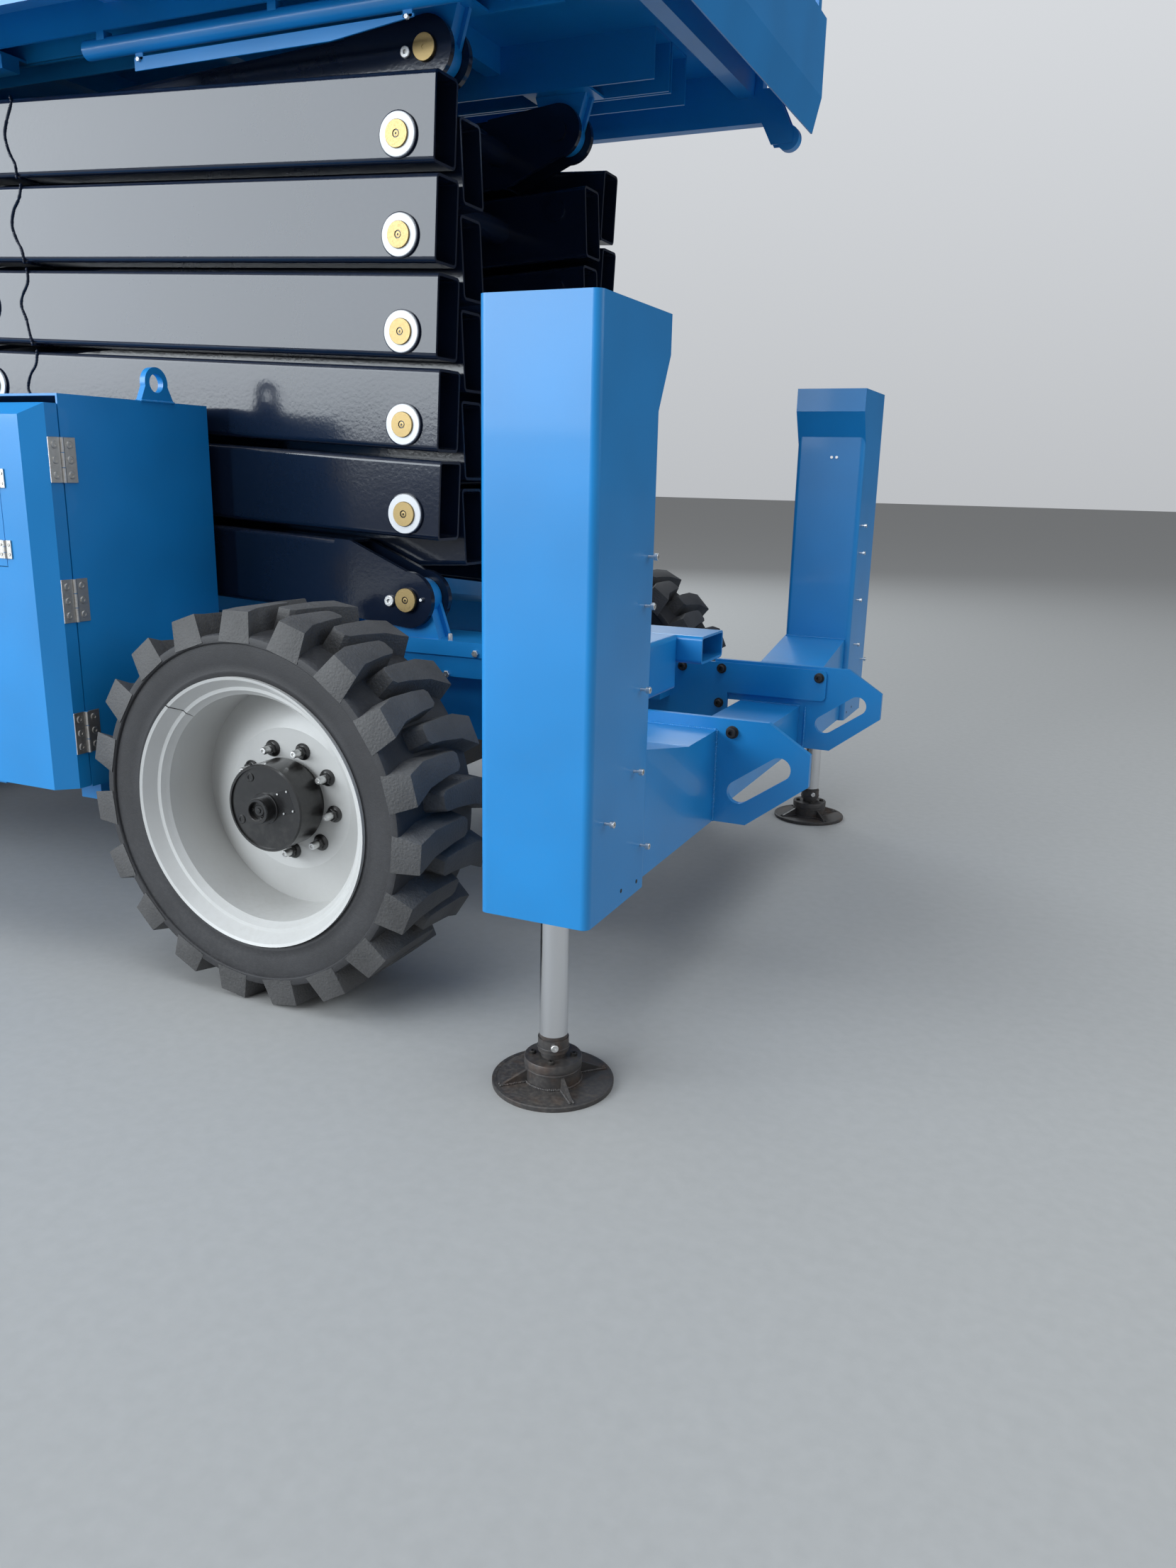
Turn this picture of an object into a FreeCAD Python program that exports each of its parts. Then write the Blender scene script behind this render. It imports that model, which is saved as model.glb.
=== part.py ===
# Large rough-terrain scissor lift: chassis on four big tyres, four vertical jacks, six scissor
# levels and a guard-railed platform with a sliding extension deck.
# Millimetres. +X is the front (the end with the fixed axle), -Y the right side, +Z up.
# The origin is on the ground, midway between the axles, on the centreline.
import FreeCAD, Part
import math
import os

V = FreeCAD.Vector
X_AXIS, Y_AXIS, Z_AXIS = V(1, 0, 0), V(0, 1, 0), V(0, 0, 1)
SIDES = (("right", -1), ("left", 1))
ENDS = (("front", 1), ("rear", -1))

# Scissor stack
LEVELS = 6
PIN_REACH = 1665.0        # half the distance between end pins, measured along X at rest
STACK_PITCH = 255.0       # height of one level at rest
ARM_HEIGHT = 230.0
ARM_WIDTH = 120.0
ARM_WALL = 8.0
ARM_CORNER = 16.0
ARM_OVERHANG = 113.0      # tube beyond its end pins
PIN_OFFSET = 45.0         # end pins lie this far off the tube's centreline
OUTER_ARM_FACE = 630.0    # outer face of the outer arms, from the centreline
ARM_GAP = 23.0            # between outer and inner arms
PIN_RADIUS = 35.0
RUNNING_FIT = 0.05
OPEN_PIN_FIT = 0.6        # radial play at the pins where the linkage is opened
BUSH_WALL = 16.0
PIN_HEAD = 7.0
WASHER_RADIUS = 60.0
WASHER = 6.0
CROSS_TUBE_RADIUS = 44.0
CROSS_TUBE_PLACES = (-1440.0, -620.0, 620.0, 1440.0)
FORK_LENGTH = 210.0       # plates beyond the tube at the ends that carry a bracket or a roller
FORK_PLATE = 20.0
FORK_NOSE = 85.0
LOWEST_PIN_Z = 1075.0
ROLLER_RADIUS = 74.7
ROLLER_RUN = 0.3          # gap between a roller and its rail
SIDE_PLAY = 2.0
SEAT_GAP = 0.3            # between pieces of different bodies that lie on each other
BRACKET_BOSS = 62.0       # radius of the bosses at the stack's two fixed pins
BRACKET_FOOT = 96.0       # half length of their plates where they meet the frame
BRACKET_PLATE = 14.0

# Lift cylinders
LIFT_CYLINDER_Y = 170.0
LIFT_BARREL_RADIUS = 62.0
LIFT_ROD_RADIUS = 38.0
LIFT_EYE_RADIUS = 62.0
LIFT_EYE_WIDTH = 70.0
LIFT_EYE_NECK = 40.0      # from each eye's centre to its tube
LIFT_ROD_START = 100.0    # the rod's inner end from the barrel's eye when closed
LIFT_END_GAP = 150.0      # barrel's end to the rod's eye when closed
LIFT_LEVEL = 1            # the barrel stands on this level's inner frame, the rod lifts the next
LUG_BACK = 80.0           # the rod's eye from its cross tube, along the arm and below it
LUG_DROP = 95.0
LUG_PLATE = 16.0
ROD_EYE_WIDTH = 80.0
LUG_SIDE_GAP = 5.0        # between the rod's eye and each of its lugs
LUG_RADIUS = 60.0
LUG_PIN_RADIUS = 28.0
LUG_PIN_HEAD = 10.0

# Wheels and axles
WHEEL_X = 1568.0
TYRE_RADIUS = 550.0
TYRE_WIDTH = 385.0
TYRE_OUTER_FACE = 1300.0
CARCASS_RADIUS = 486.0
BEAD_RADIUS = 352.0
LUG_COUNT = 19
LUG_SINK = 34.0           # depth of a lug's root in the carcass
RIM_FLANGE_RADIUS = 375.0
RIM_WIDTH = 330.0
RIM_LIP = 8.0
RIM_WELL_RADIUS = 320.0   # inside of the rim's barrel
DISC_OFFSET = 190.0       # the wheel disc lies this far inside the rim's outer flange
DISC_THICKNESS = 14.0
DISC_DISH = 40.0
DISC_FLAT_RADIUS = 205.0
HUB_RADIUS = 124.0
HUB_LENGTH = 115.0        # hub beyond the disc
HUB_LIP = 9.0
HUB_RECESS = 5.0
HUB_BOSS_RADIUS = 35.0
HUB_BOSS_LENGTH = 38.0
HUB_FLANGE_RADIUS = 190.0
HUB_BACK_RADIUS = 130.0
HUB_INNER_LENGTH = 120.0
BRAKE_RADIUS = 118.0
SPINDLE_RADIUS = 50.0
SPINDLE_LENGTH = 90.0
AXLE_HALF_HEIGHT = 80.0
AXLE_HALF_DEPTH = 75.0
KINGPIN_Y = 850.0
KINGPIN_RADIUS = 30.0
KNUCKLE_HEIGHT = 190.0
YOKE_PLATE = 40.0
YOKE_NOSE = 54.0
STEER_ARM = 170.0
STEER_ROD_RADIUS = 20.0
STEER_ROD_SHORT = 54.0    # the rod ends this far inside the kingpins, clear of the knuckles at full lock
STEER_RAM_RADIUS = 42.0
STEER_RAM_HALF = 220.0
AXLE_FLANGE = 110.0
AXLE_SEAT = 100.0

# Chassis
BEAM_INNER = 390.0
BEAM_OUTER = 620.0
BEAM_TOP = 960.0
BEAM_LIP = 45.0           # height of the beam's upper edge, which stands out from its side
BEAM_STEP = 8.0
BEAM_BOTTOM = 850.0
SILL_INNER = 400.0
SILL_OUTER = 522.0
SILL_BOTTOM = 640.0
BEAM_END_X = 1950.0
SILL_END_X = 2110.0
SIDE_PLATE = 12.0         # bolted plates that carry the outriggers
SIDE_PLATE_START_X = 1990.0
SIDE_PLATE_TOP = 785.0
SIDE_PLATE_TONGUE_X = 2340.0
SIDE_PLATE_TONGUE_Z = 673.0
SIDE_PLATE_END_X = 2710.0
SIDE_PLATE_BOTTOM = 560.0
CROSS_MEMBER_PLACES = (-1880.0, -700.0, 700.0, 1880.0)
RAIL_WIDTH = 68.0
RAIL_START_X = -1790.0
RAIL_END_X = 150.0
FRONT_BOX = (2150.0, 2353.0, -500.0, -108.0, 785.0)   # x, x, y, y, underside
FRONT_BOX_CORNER = 14.0
STOW_TUBE_HALF_WIDTH = 108.0
STOW_TUBE_HEIGHT = 90.0
STOW_TUBE_WALL = 8.0
STOW_TUBE_START_X = 1850.0
STOW_TUBE_END_X = 2437.0

# Outriggers and jacks
JACK_X = 2502.0
JACK_INSET = 163.0        # jack's axis from its cover's outer face
POST_OUTER = 1470.0
POST_WIDTH = 340.0
POST_REAR = 114.0         # cover's faces from the jack's axis
POST_FRONT = 156.0
POST_BEND = 18.0
HOOD_STEP = 50.0
POST_BOTTOM = 484.0
POST_TOP = 1800.0
HOOD_DEPTH = 180.0
HOOD_SLOPE = 95.0
SHEET = 5.0
CROSS_BEAM_TOP = 646.0
CROSS_BEAM_BOTTOM = 490.0
ARM_FRONT = 136.0         # arm's faces from the jack's axis
CROSS_BEAM_FRONT = 114.0
ARM_TOP_INNER = 760.0
ARM_TOP_OUTER = 822.0
ARM_BREAK_Y = 784.0
STUB_INSET = 20.0
STUB_RISE = 130.0
TOW_PLATE_Y = 532.0
TOW_PLATE = 20.0
TOW_TOP = 795.0
TOW_TIP_X = 2911.0
TOW_TIP = (624.0, 716.0)  # height of the plate's blunt tip
TOW_REAR = 220.0          # plate's rear end from the jack's axis
TOW_BREAK_X = 2788.0
TOW_FOOT_X = 2736.0
TOW_SLOT = ((2711.0, 585.0), (2825.0, 665.0))
TOW_SLOT_RADIUS = 34.0
JACK_BARREL_RADIUS = 60.0
JACK_BORE = 48.0
JACK_ROD_RADIUS = 35.0
JACK_BARREL_BOTTOM = 560.0
JACK_BARREL_TOP = 1740.0
JACK_ROD_TOP = 1330.0
JACK_PISTON = 40.0
PAD_RADIUS = 150.0
PAD_THICKNESS = 12.0
CUP_RADIUS = 69.0
CUP_TOP = 53.0
CLAMP_TOP = 73.0
COLLAR_RADIUS = 38.0
COLLAR = (88.0, 124.0)    # lower and upper edge
NECK_RADIUS = 31.0
GUSSET = 8.0

# Side boxes
BOX_FRONT_X = 973.0
BOX_REAR_X = -880.0
BOX_INNER = 680.0
BOX_OUTER = 1252.0
BOX_BOTTOM = 545.0
BOX_TOP = 1636.0
BOX_SHEET = 6.0
DOOR_DEPTH = 92.0
DOOR_RETURN = 45.0
DOOR_BEVEL = 48.0
DOOR_TOP_BEVEL = 32.0
DOOR_GAP = 6.0
DOOR_SHEET = 4.0
HINGE_RADIUS = 5.0
HINGE_PIN = 3.0
HINGE_LENGTH = 120.0
HINGE_LEAF = 2.5
DOOR_HINGE_Z = (709.0, 1084.0, 1463.0)
HATCH_FROM_EDGE = 140.0   # hatch's hinged side from the door's hinged edge
HATCH_WIDTH = 330.0
HATCH_Z = (1175.0, 1455.0)
HATCH_GAP = 2.0
HATCH_HINGE_Z = (1223.0, 1412.0)
HATCH_HINGE_LENGTH = 50.0
HATCH_AXIS = 3.6          # hinge line beyond the door's face
HATCH_LEAF = 12.0
ENGINE = (-700.0, -100.0, 1250.0)   # x, x, top
LIFT_LUG_Y = 885.0
LIFT_LUG_RADIUS = 45.0
LIFT_LUG_BORE = 27.0
LIFT_LUG_RISE = 52.0
LIFT_LUG_PLATE = 20.0
SHELF_PLACES = (-700.0, -100.0, 500.0, 900.0)
SHELF_HALF = 40.0
SHELF_DEPTH = 60.0

# Platform
DECK_REAR_X = -2400.0
DECK_FRONT_X = 2240.0
DECK_HALF_WIDTH = 930.0
DECK_DEPTH = 160.0        # from the underside of the deck's beams to its top
DECK_SHEET = 6.0
SIDE_BEAM_HEIGHT = 170.0
SIDE_BEAM_WIDTH = 50.0
DECK_CHANNELS = ((339.0, 485.0), (497.0, 643.0))   # from the centreline: over the inner and the outer arms
CHANNEL_WALL = 8.0
CHANNEL_FRONT_X = 2030.0
CROSS_MEMBERS = 7
CROSS_MEMBER_WIDTH = 60.0
CROSS_MEMBER_HEIGHT = 84.0
PLATFORM_RAIL_HEIGHT = 1100.0
RAIL_TUBE = 40.0
MID_RAIL = 530.0
RAIL_BAYS = 4
EXTENSION_BAYS = 2
EXTENSION_REAR_X = 300.0
EXTENSION_FRONT_X = 2445.0
EXTENSION_GAP = 12.0
EXTENSION_LIFT = 8.0      # extension's floor above the deck
EXTENSION_FLOOR = 30.0
RUNNER_WIDTH = 60.0
RUNNER_PLACES = (440.0, 740.0)
SLIDE_ROLLER_X = 2340.0
SLIDE_ROLLER_RADIUS = 42.0
PANEL_SHEET = 5.0
PANEL_RAKE = 32.0
PANEL_DROP = 215.0        # end panel below the deck, and the place of its bend
PANEL_BEND = 100.0
GATE_HALF = 330.0
GATE_TUBE = 30.0
GATE_STUB_Y = 340.0
TOE_BOARD = 150.0
TOE_SHEET = 4.0
SIDE_TUBE_RADIUS = 28.0
SIDE_TUBE_X = (540.0, 1950.0)
SIDE_TUBE_Y = 620.0
SIDE_TUBE_DROP = 40.0

# Ladder
LADDER_BOTTOM = 420.0
LADDER_HALF_WIDTH = 230.0
LADDER_STILE = (50.0, 30.0)
RUNG_PITCH = 300.0
RUNG_DEPTH = 25.0

# Worked-out sizes
REST_ANGLE = math.degrees(math.atan2(STACK_PITCH, 2 * PIN_REACH))
HALF_PIN_LINE = PIN_REACH / math.cos(math.radians(REST_ANGLE))
PIN_U = math.sqrt(HALF_PIN_LINE ** 2 - PIN_OFFSET ** 2)
TUBE_ANGLE = REST_ANGLE - math.degrees(math.atan2(PIN_OFFSET, PIN_U))
INNER_ARM_FACE = OUTER_ARM_FACE - ARM_WIDTH - ARM_GAP
OUTER_ARM_MID = OUTER_ARM_FACE - ARM_WIDTH / 2
INNER_ARM_MID = INNER_ARM_FACE - ARM_WIDTH / 2
INNER_CLEAR_Y = INNER_ARM_FACE - ARM_WIDTH
TOP_PIN_Z = LOWEST_PIN_Z + LEVELS * STACK_PITCH
FORK_INSIDE = ARM_WIDTH - 2 * FORK_PLATE
DISC_Y = TYRE_OUTER_FACE - 10 - DISC_OFFSET
TYRE_MID = TYRE_OUTER_FACE - TYRE_WIDTH / 2
RAIL_TOP = LOWEST_PIN_Z - ROLLER_RADIUS - ROLLER_RUN
PLATFORM_RAIL_BOTTOM = TOP_PIN_Z + ROLLER_RADIUS + ROLLER_RUN
DECK_BEAM_BOTTOM = PLATFORM_RAIL_BOTTOM + 40.0
DECK_TOP = DECK_BEAM_BOTTOM + DECK_DEPTH
RAILS_TOP = DECK_TOP + PLATFORM_RAIL_HEIGHT
POST_INNER = POST_OUTER - POST_WIDTH
JACK_Y = POST_OUTER - JACK_INSET
HOOD_INNER = POST_INNER - HOOD_STEP
HOOD_BOTTOM = POST_TOP - HOOD_DEPTH
HOOD_FOLD = HOOD_BOTTOM + HOOD_SLOPE
POST_X0 = JACK_X - POST_REAR
POST_X1 = JACK_X + POST_FRONT
ARM_X1 = JACK_X + ARM_FRONT
TOW_X0 = JACK_X - TOW_REAR


def level_z(level):
    """Height of the end pins at the top of a level."""
    return LOWEST_PIN_Z + level * STACK_PITCH


def box(x0, x1, y0, y1, z0, z1):
    return Part.makeBox(x1 - x0, y1 - y0, z1 - z0, V(x0, y0, z0))


def cyl_y(x, z, radius, y0, y1):
    return Part.makeCylinder(radius, y1 - y0, V(x, y0, z), Y_AXIS)


def cyl_z(x, y, radius, z0, z1):
    return Part.makeCylinder(radius, z1 - z0, V(x, y, z0), Z_AXIS)


def prism_y(points, y0, y1):
    """Extrude an XZ outline along Y."""
    loop = [V(x, y0, z) for x, z in points]
    return Part.Face(Part.makePolygon(loop + loop[:1])).extrude(V(0, y1 - y0, 0))


def prism_x(points, x0, x1):
    """Extrude a YZ outline along X."""
    loop = [V(x0, y, z) for y, z in points]
    return Part.Face(Part.makePolygon(loop + loop[:1])).extrude(V(x1 - x0, 0, 0))


def fuse(shapes):
    joined = shapes[0].fuse(shapes[1:]) if len(shapes) > 1 else shapes[0]
    return joined.removeSplitter()


def mirror_side(shape):
    """The same piece on the other side of the centreline."""
    return shape.mirror(V(0, 0, 0), Y_AXIS)


def both_sides(shape):
    return [shape, mirror_side(shape)]


def mirror_end(shape):
    return shape.mirror(V(0, 0, 0), X_AXIS)


def save(name, shapes):
    solid_list = shapes if isinstance(shapes, list) else [shapes]
    solids = [solid for shape in solid_list for solid in shape.Solids]
    shape = solids[0] if len(solids) == 1 else Part.makeCompound(solids)
    if not shape.isValid():
        print("not valid:", name)
    shape.exportStep("parts/" + name + ".step")


def rounded_rect_x(x0, x1, y_mid, z_mid, width, height, corner):
    """Solid bar along X with rounded long edges."""
    bar = box(x0, x1, y_mid - width / 2, y_mid + width / 2, z_mid - height / 2, z_mid + height / 2)
    long_edges = [e for e in bar.Edges if abs(e.Vertexes[0].Point.x - e.Vertexes[1].Point.x) > 1]
    return bar.makeFillet(corner, long_edges)


def nose_plate(pin_x, pin_z, root_x, half_height, y0, y1):
    """Fork plate: a tube-high root that tapers to a round nose about its pin."""
    sign = 1 if pin_x > root_x else -1
    taper_x = root_x + sign * 0.2 * abs(pin_x - root_x)
    low = pin_z < 0
    near, far = (-half_height, half_height) if low else (half_height, -half_height)
    edge = pin_z - FORK_NOSE if low else pin_z + FORK_NOSE
    angle = math.atan2(half_height, abs(pin_x - taper_x))
    top_x = pin_x + sign * FORK_NOSE * math.sin(angle) * 0.5
    top_z = pin_z + (1 if low else -1) * FORK_NOSE * math.cos(angle)
    outline = [(root_x, near), (root_x, far), (taper_x, far), (top_x, top_z), (pin_x, edge)]
    plate = prism_y(outline, y0, y1)
    return plate.fuse(cyl_y(pin_x, pin_z, FORK_NOSE, y0, y1)).removeSplitter()


def arm_tube(y_mid, fork_right, fork_left):
    """One arm beam along X about its own centre, open at its ends or with fork plates."""
    reach = PIN_U + ARM_OVERHANG
    right_x = PIN_U - FORK_LENGTH if fork_right else reach
    left_x = -(PIN_U - FORK_LENGTH) if fork_left else -reach
    skin = rounded_rect_x(left_x, right_x, y_mid, 0, ARM_WIDTH, ARM_HEIGHT, ARM_CORNER)
    hollow = rounded_rect_x(left_x - 1, right_x + 1, y_mid, 0, ARM_WIDTH - 2 * ARM_WALL,
                            ARM_HEIGHT - 2 * ARM_WALL, ARM_CORNER - ARM_WALL)
    return skin.cut(hollow)


def fork_plates(y_mid, pin_x, pin_z):
    root_x = (PIN_U - FORK_LENGTH - 60) * (1 if pin_x > 0 else -1)
    plates = []
    for y0 in (y_mid - ARM_WIDTH / 2, y_mid + ARM_WIDTH / 2 - FORK_PLATE):
        plates.append(nose_plate(pin_x, pin_z, root_x, ARM_HEIGHT / 2 - 0.01, y0, y0 + FORK_PLATE))
    return plates


def outer_beam(level):
    """Left-hand beam of an outer arm with its three pins; its right end is the lower one."""
    fork_right = level == 1
    fork_left = level == LEVELS
    pins = ((PIN_U, -PIN_OFFSET, fork_right), (0, 0, False), (-PIN_U, PIN_OFFSET, fork_left))
    shapes = [arm_tube(OUTER_ARM_MID, fork_right, fork_left)]
    inner_face = OUTER_ARM_MID - ARM_WIDTH / 2
    for pin_x, pin_z, forked in pins:
        pin_end = inner_face - 10 if forked else INNER_CLEAR_Y - 10
        head_end = OUTER_ARM_FACE + WASHER + PIN_HEAD
        shapes.append(cyl_y(pin_x, pin_z, PIN_RADIUS, pin_end, head_end))
        if forked:
            shapes += fork_plates(OUTER_ARM_MID, pin_x, pin_z)
            if pin_x < 0:
                half = FORK_INSIDE / 2 - SIDE_PLAY
                shapes.append(cyl_y(pin_x, pin_z, ROLLER_RADIUS, OUTER_ARM_MID - half,
                                    OUTER_ARM_MID + half))
        else:
            shapes.append(cyl_y(pin_x, pin_z, WASHER_RADIUS, OUTER_ARM_FACE, OUTER_ARM_FACE + WASHER))
            shapes.append(cyl_y(pin_x, pin_z, PIN_RADIUS + BUSH_WALL, inner_face, OUTER_ARM_FACE))
    return fuse(shapes)


def inner_frame(level):
    """Inner arm: two beams joined by cross tubes, bored for the outer arms' pins."""
    fork_left = level == 1
    fork_right = level == LEVELS
    holes = ((PIN_U, PIN_OFFSET, fork_right), (0, 0, False), (-PIN_U, -PIN_OFFSET, fork_left))
    shapes = [arm_tube(INNER_ARM_MID, fork_right, fork_left)]
    inner_face = INNER_CLEAR_Y
    bores = []
    for pin_x, pin_z, forked in holes:
        if forked:
            shapes += fork_plates(INNER_ARM_MID, pin_x, pin_z)
            shapes.append(cyl_y(pin_x, pin_z, PIN_RADIUS, inner_face - 8, INNER_ARM_FACE + 8))
            if pin_x < 0:
                half = FORK_INSIDE / 2 - SIDE_PLAY
                shapes.append(cyl_y(pin_x, pin_z, ROLLER_RADIUS, INNER_ARM_MID - half,
                                    INNER_ARM_MID + half))
            continue
        play = OPEN_PIN_FIT if pin_x < 0 else RUNNING_FIT
        shapes.append(cyl_y(pin_x, pin_z, PIN_RADIUS + BUSH_WALL, inner_face, INNER_ARM_FACE))
        bores.append(cyl_y(pin_x, pin_z, PIN_RADIUS + play, inner_face - 1, INNER_ARM_FACE + 1))
    beam = fuse(shapes)
    if bores:
        beam = beam.cut(bores)
    cross = [cyl_y(place, 0, CROSS_TUBE_RADIUS, -inner_face - 2, inner_face + 2)
             for place in CROSS_TUBE_PLACES]
    return fuse(both_sides(beam) + cross)


def place_arm(shape, level, lean):
    """Turn an arm to its rest angle and lift it to its level's centre pin."""
    turned = shape.copy()
    turned.rotate(V(0, 0, 0), Y_AXIS, lean)
    turned.translate(V(0, 0, level_z(level) - STACK_PITCH / 2))
    return turned


def make_scissor():
    for level in range(1, LEVELS + 1):
        beam = outer_beam(level)
        pair = [place_arm(part, level, TUBE_ANGLE) for part in both_sides(beam)]
        save("outer_arm_%d" % level, pair)
        save("inner_arm_%d" % level, place_arm(inner_frame(level), level, -TUBE_ANGLE))


def arm_point(level, along, across):
    """Rest place of a point of a level's inner frame, measured along its tube and off its centreline."""
    lean = math.radians(TUBE_ANGLE)
    x = along * math.cos(lean) - across * math.sin(lean)
    z = along * math.sin(lean) + across * math.cos(lean)
    return V(x, 0, level_z(level) - STACK_PITCH / 2 + z)


def make_lift_cylinders():
    base = arm_point(LIFT_LEVEL, CROSS_TUBE_PLACES[2], 0)
    tube = arm_point(LIFT_LEVEL + 1, CROSS_TUBE_PLACES[1], 0)
    head = arm_point(LIFT_LEVEL + 1, CROSS_TUBE_PLACES[1] - LUG_BACK, -LUG_DROP)
    length = (head - base).Length
    direction = (head - base).normalize()
    barrels, rods, lugs = [], [], []
    for _, side in SIDES:
        y = side * LIFT_CYLINDER_Y
        start = base + V(0, y, 0)
        barrel = Part.makeCylinder(LIFT_BARREL_RADIUS, length - LIFT_END_GAP - LIFT_EYE_NECK,
                                   start + direction * LIFT_EYE_NECK, direction)
        eye = cyl_y(base.x, base.z, LIFT_EYE_RADIUS, y - LIFT_EYE_WIDTH / 2, y + LIFT_EYE_WIDTH / 2)
        hollow = Part.makeCylinder(LIFT_ROD_RADIUS + RUNNING_FIT, length,
                                   start + direction * LIFT_ROD_START, direction)
        pivot = cyl_y(base.x, base.z, CROSS_TUBE_RADIUS + RUNNING_FIT, y - LIFT_EYE_WIDTH, y + LIFT_EYE_WIDTH)
        barrels.append(barrel.fuse(eye).cut([hollow, pivot]).removeSplitter())
        rod = Part.makeCylinder(LIFT_ROD_RADIUS, length - LIFT_ROD_START - LIFT_EYE_NECK,
                                start + direction * LIFT_ROD_START, direction)
        rod_eye = cyl_y(head.x, head.z, LIFT_EYE_RADIUS, y - ROD_EYE_WIDTH / 2, y + ROD_EYE_WIDTH / 2)
        rods.append(rod.fuse(rod_eye).removeSplitter())
        for face in (-1, 1):
            near = ROD_EYE_WIDTH / 2 + LUG_SIDE_GAP
            far = near + LUG_PLATE
            y0, y1 = sorted((y + face * near, y + face * far))
            plate = slot_between(head, tube, LUG_RADIUS, y0, y1)
            plate = plate.cut(cyl_y(tube.x, tube.z, CROSS_TUBE_RADIUS, y0 - 1, y1 + 1))
            y2, y3 = sorted((y + face * far, y + face * (far + LUG_PIN_HEAD)))
            lugs.append(fuse([plate, cyl_y(head.x, head.z, LUG_PIN_RADIUS, y2, y3)]))
    save("lift_barrels", barrels)
    save("lift_rods", rods)
    save("rod_lugs", lugs)


def ring_section(profile):
    """Revolve a (radius, y) outline about the Y axis through the origin."""
    loop = [V(radius, y, 0) for radius, y in profile]
    face = Part.Face(Part.makePolygon(loop + loop[:1]))
    return face.revolve(V(0, 0, 0), Y_AXIS, 360)


def faceted_ring(profile, sides):
    """Ring with flat faces: a (radius, y) outline turned about the Y axis in equal steps."""
    loops = []
    for index in range(sides):
        angle = 2 * math.pi * index / sides
        loops.append([V(radius * math.cos(angle), y, radius * math.sin(angle)) for radius, y in profile])
    faces = []
    for index, here in enumerate(loops):
        there = loops[(index + 1) % sides]
        for k in range(len(profile)):
            n = (k + 1) % len(profile)
            faces.append(Part.Face(Part.makePolygon([here[k], here[n], there[n], there[k], here[k]])))
    solid = Part.Solid(Part.Shell(faces))
    if solid.Volume < 0:
        solid.reverse()
    return solid


def tyre_shape():
    """Left-hand tyre about its own centre: faceted carcass and two rows of staggered lugs."""
    half = TYRE_WIDTH / 2
    bead = RIM_WIDTH / 2 - 18
    bead_radius = BEAD_RADIUS / math.cos(math.pi / LUG_COUNT)
    side = [(bead_radius, bead), (RIM_FLANGE_RADIUS + 9, half - 22), (CARCASS_RADIUS, half - 8)]
    carcass = faceted_ring(side + [(radius, -y) for radius, y in reversed(side)], LUG_COUNT)
    # Lug outline in the tread: distance along the tread, distance across it
    outline = [(-48, half), (40, half), (-8, -8), (-70, -8), (-52, 84)]
    root = CARCASS_RADIUS - LUG_SINK
    top = math.sqrt(TYRE_RADIUS ** 2 - max(abs(s) for s, _ in outline) ** 2)
    lug = Part.Face(Part.makePolygon([V(s, y, root) for s, y in outline + outline[:1]]))
    lug = lug.extrude(V(0, 0, top - root))
    bevel = [(half + 1, TYRE_RADIUS - 30), (half + 1, TYRE_RADIUS + 1), (half - 32, TYRE_RADIUS + 1)]
    shoulder = prism_x(bevel, -TYRE_WIDTH, TYRE_WIDTH)
    lug = lug.cut(shoulder)
    pitch = 360.0 / LUG_COUNT
    lugs = []
    for row, shift in ((lug, 0.0), (mirror_side(lug), 0.5)):
        for index in range(LUG_COUNT):
            copy = row.copy()
            copy.rotate(V(0, 0, 0), Y_AXIS, 180 + pitch * (index + shift))
            lugs.append(copy)
    return fuse([carcass] + lugs)


def rim_shape():
    """Left-hand rim about the tyre's centre: stepped flanges, barrel and dished disc."""
    outer = TYRE_OUTER_FACE - 10 - TYRE_MID
    seat = BEAD_RADIUS - 0.3
    well = RIM_WELL_RADIUS
    disc = DISC_Y - TYRE_MID
    # Half of the section from the flange's lip, first along the tyre's side and then inside
    tyre_side = [(RIM_FLANGE_RADIUS, outer), (RIM_FLANGE_RADIUS, outer - 12), (seat, outer - 30),
                 (seat, outer - 60), (well + 10, outer - 82)]
    inside = [(well, outer - 58), (well + 6, outer - 50), (well + 14, outer - 38), (well + 24, outer - 36),
              (RIM_FLANGE_RADIUS - RIM_LIP, outer - 3)]
    mirrored = [(radius, -y) for radius, y in reversed(tyre_side)]
    inside_mirrored = [(radius, -y) for radius, y in reversed(inside)]
    barrel = ring_section(tyre_side + mirrored + inside_mirrored + inside)
    front = [(HUB_RADIUS - 10, disc), (DISC_FLAT_RADIUS, disc), (well + 1, disc - DISC_DISH)]
    plate = ring_section(front + [(radius, y - DISC_THICKNESS) for radius, y in reversed(front)])
    return fuse([barrel, plate])


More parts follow.
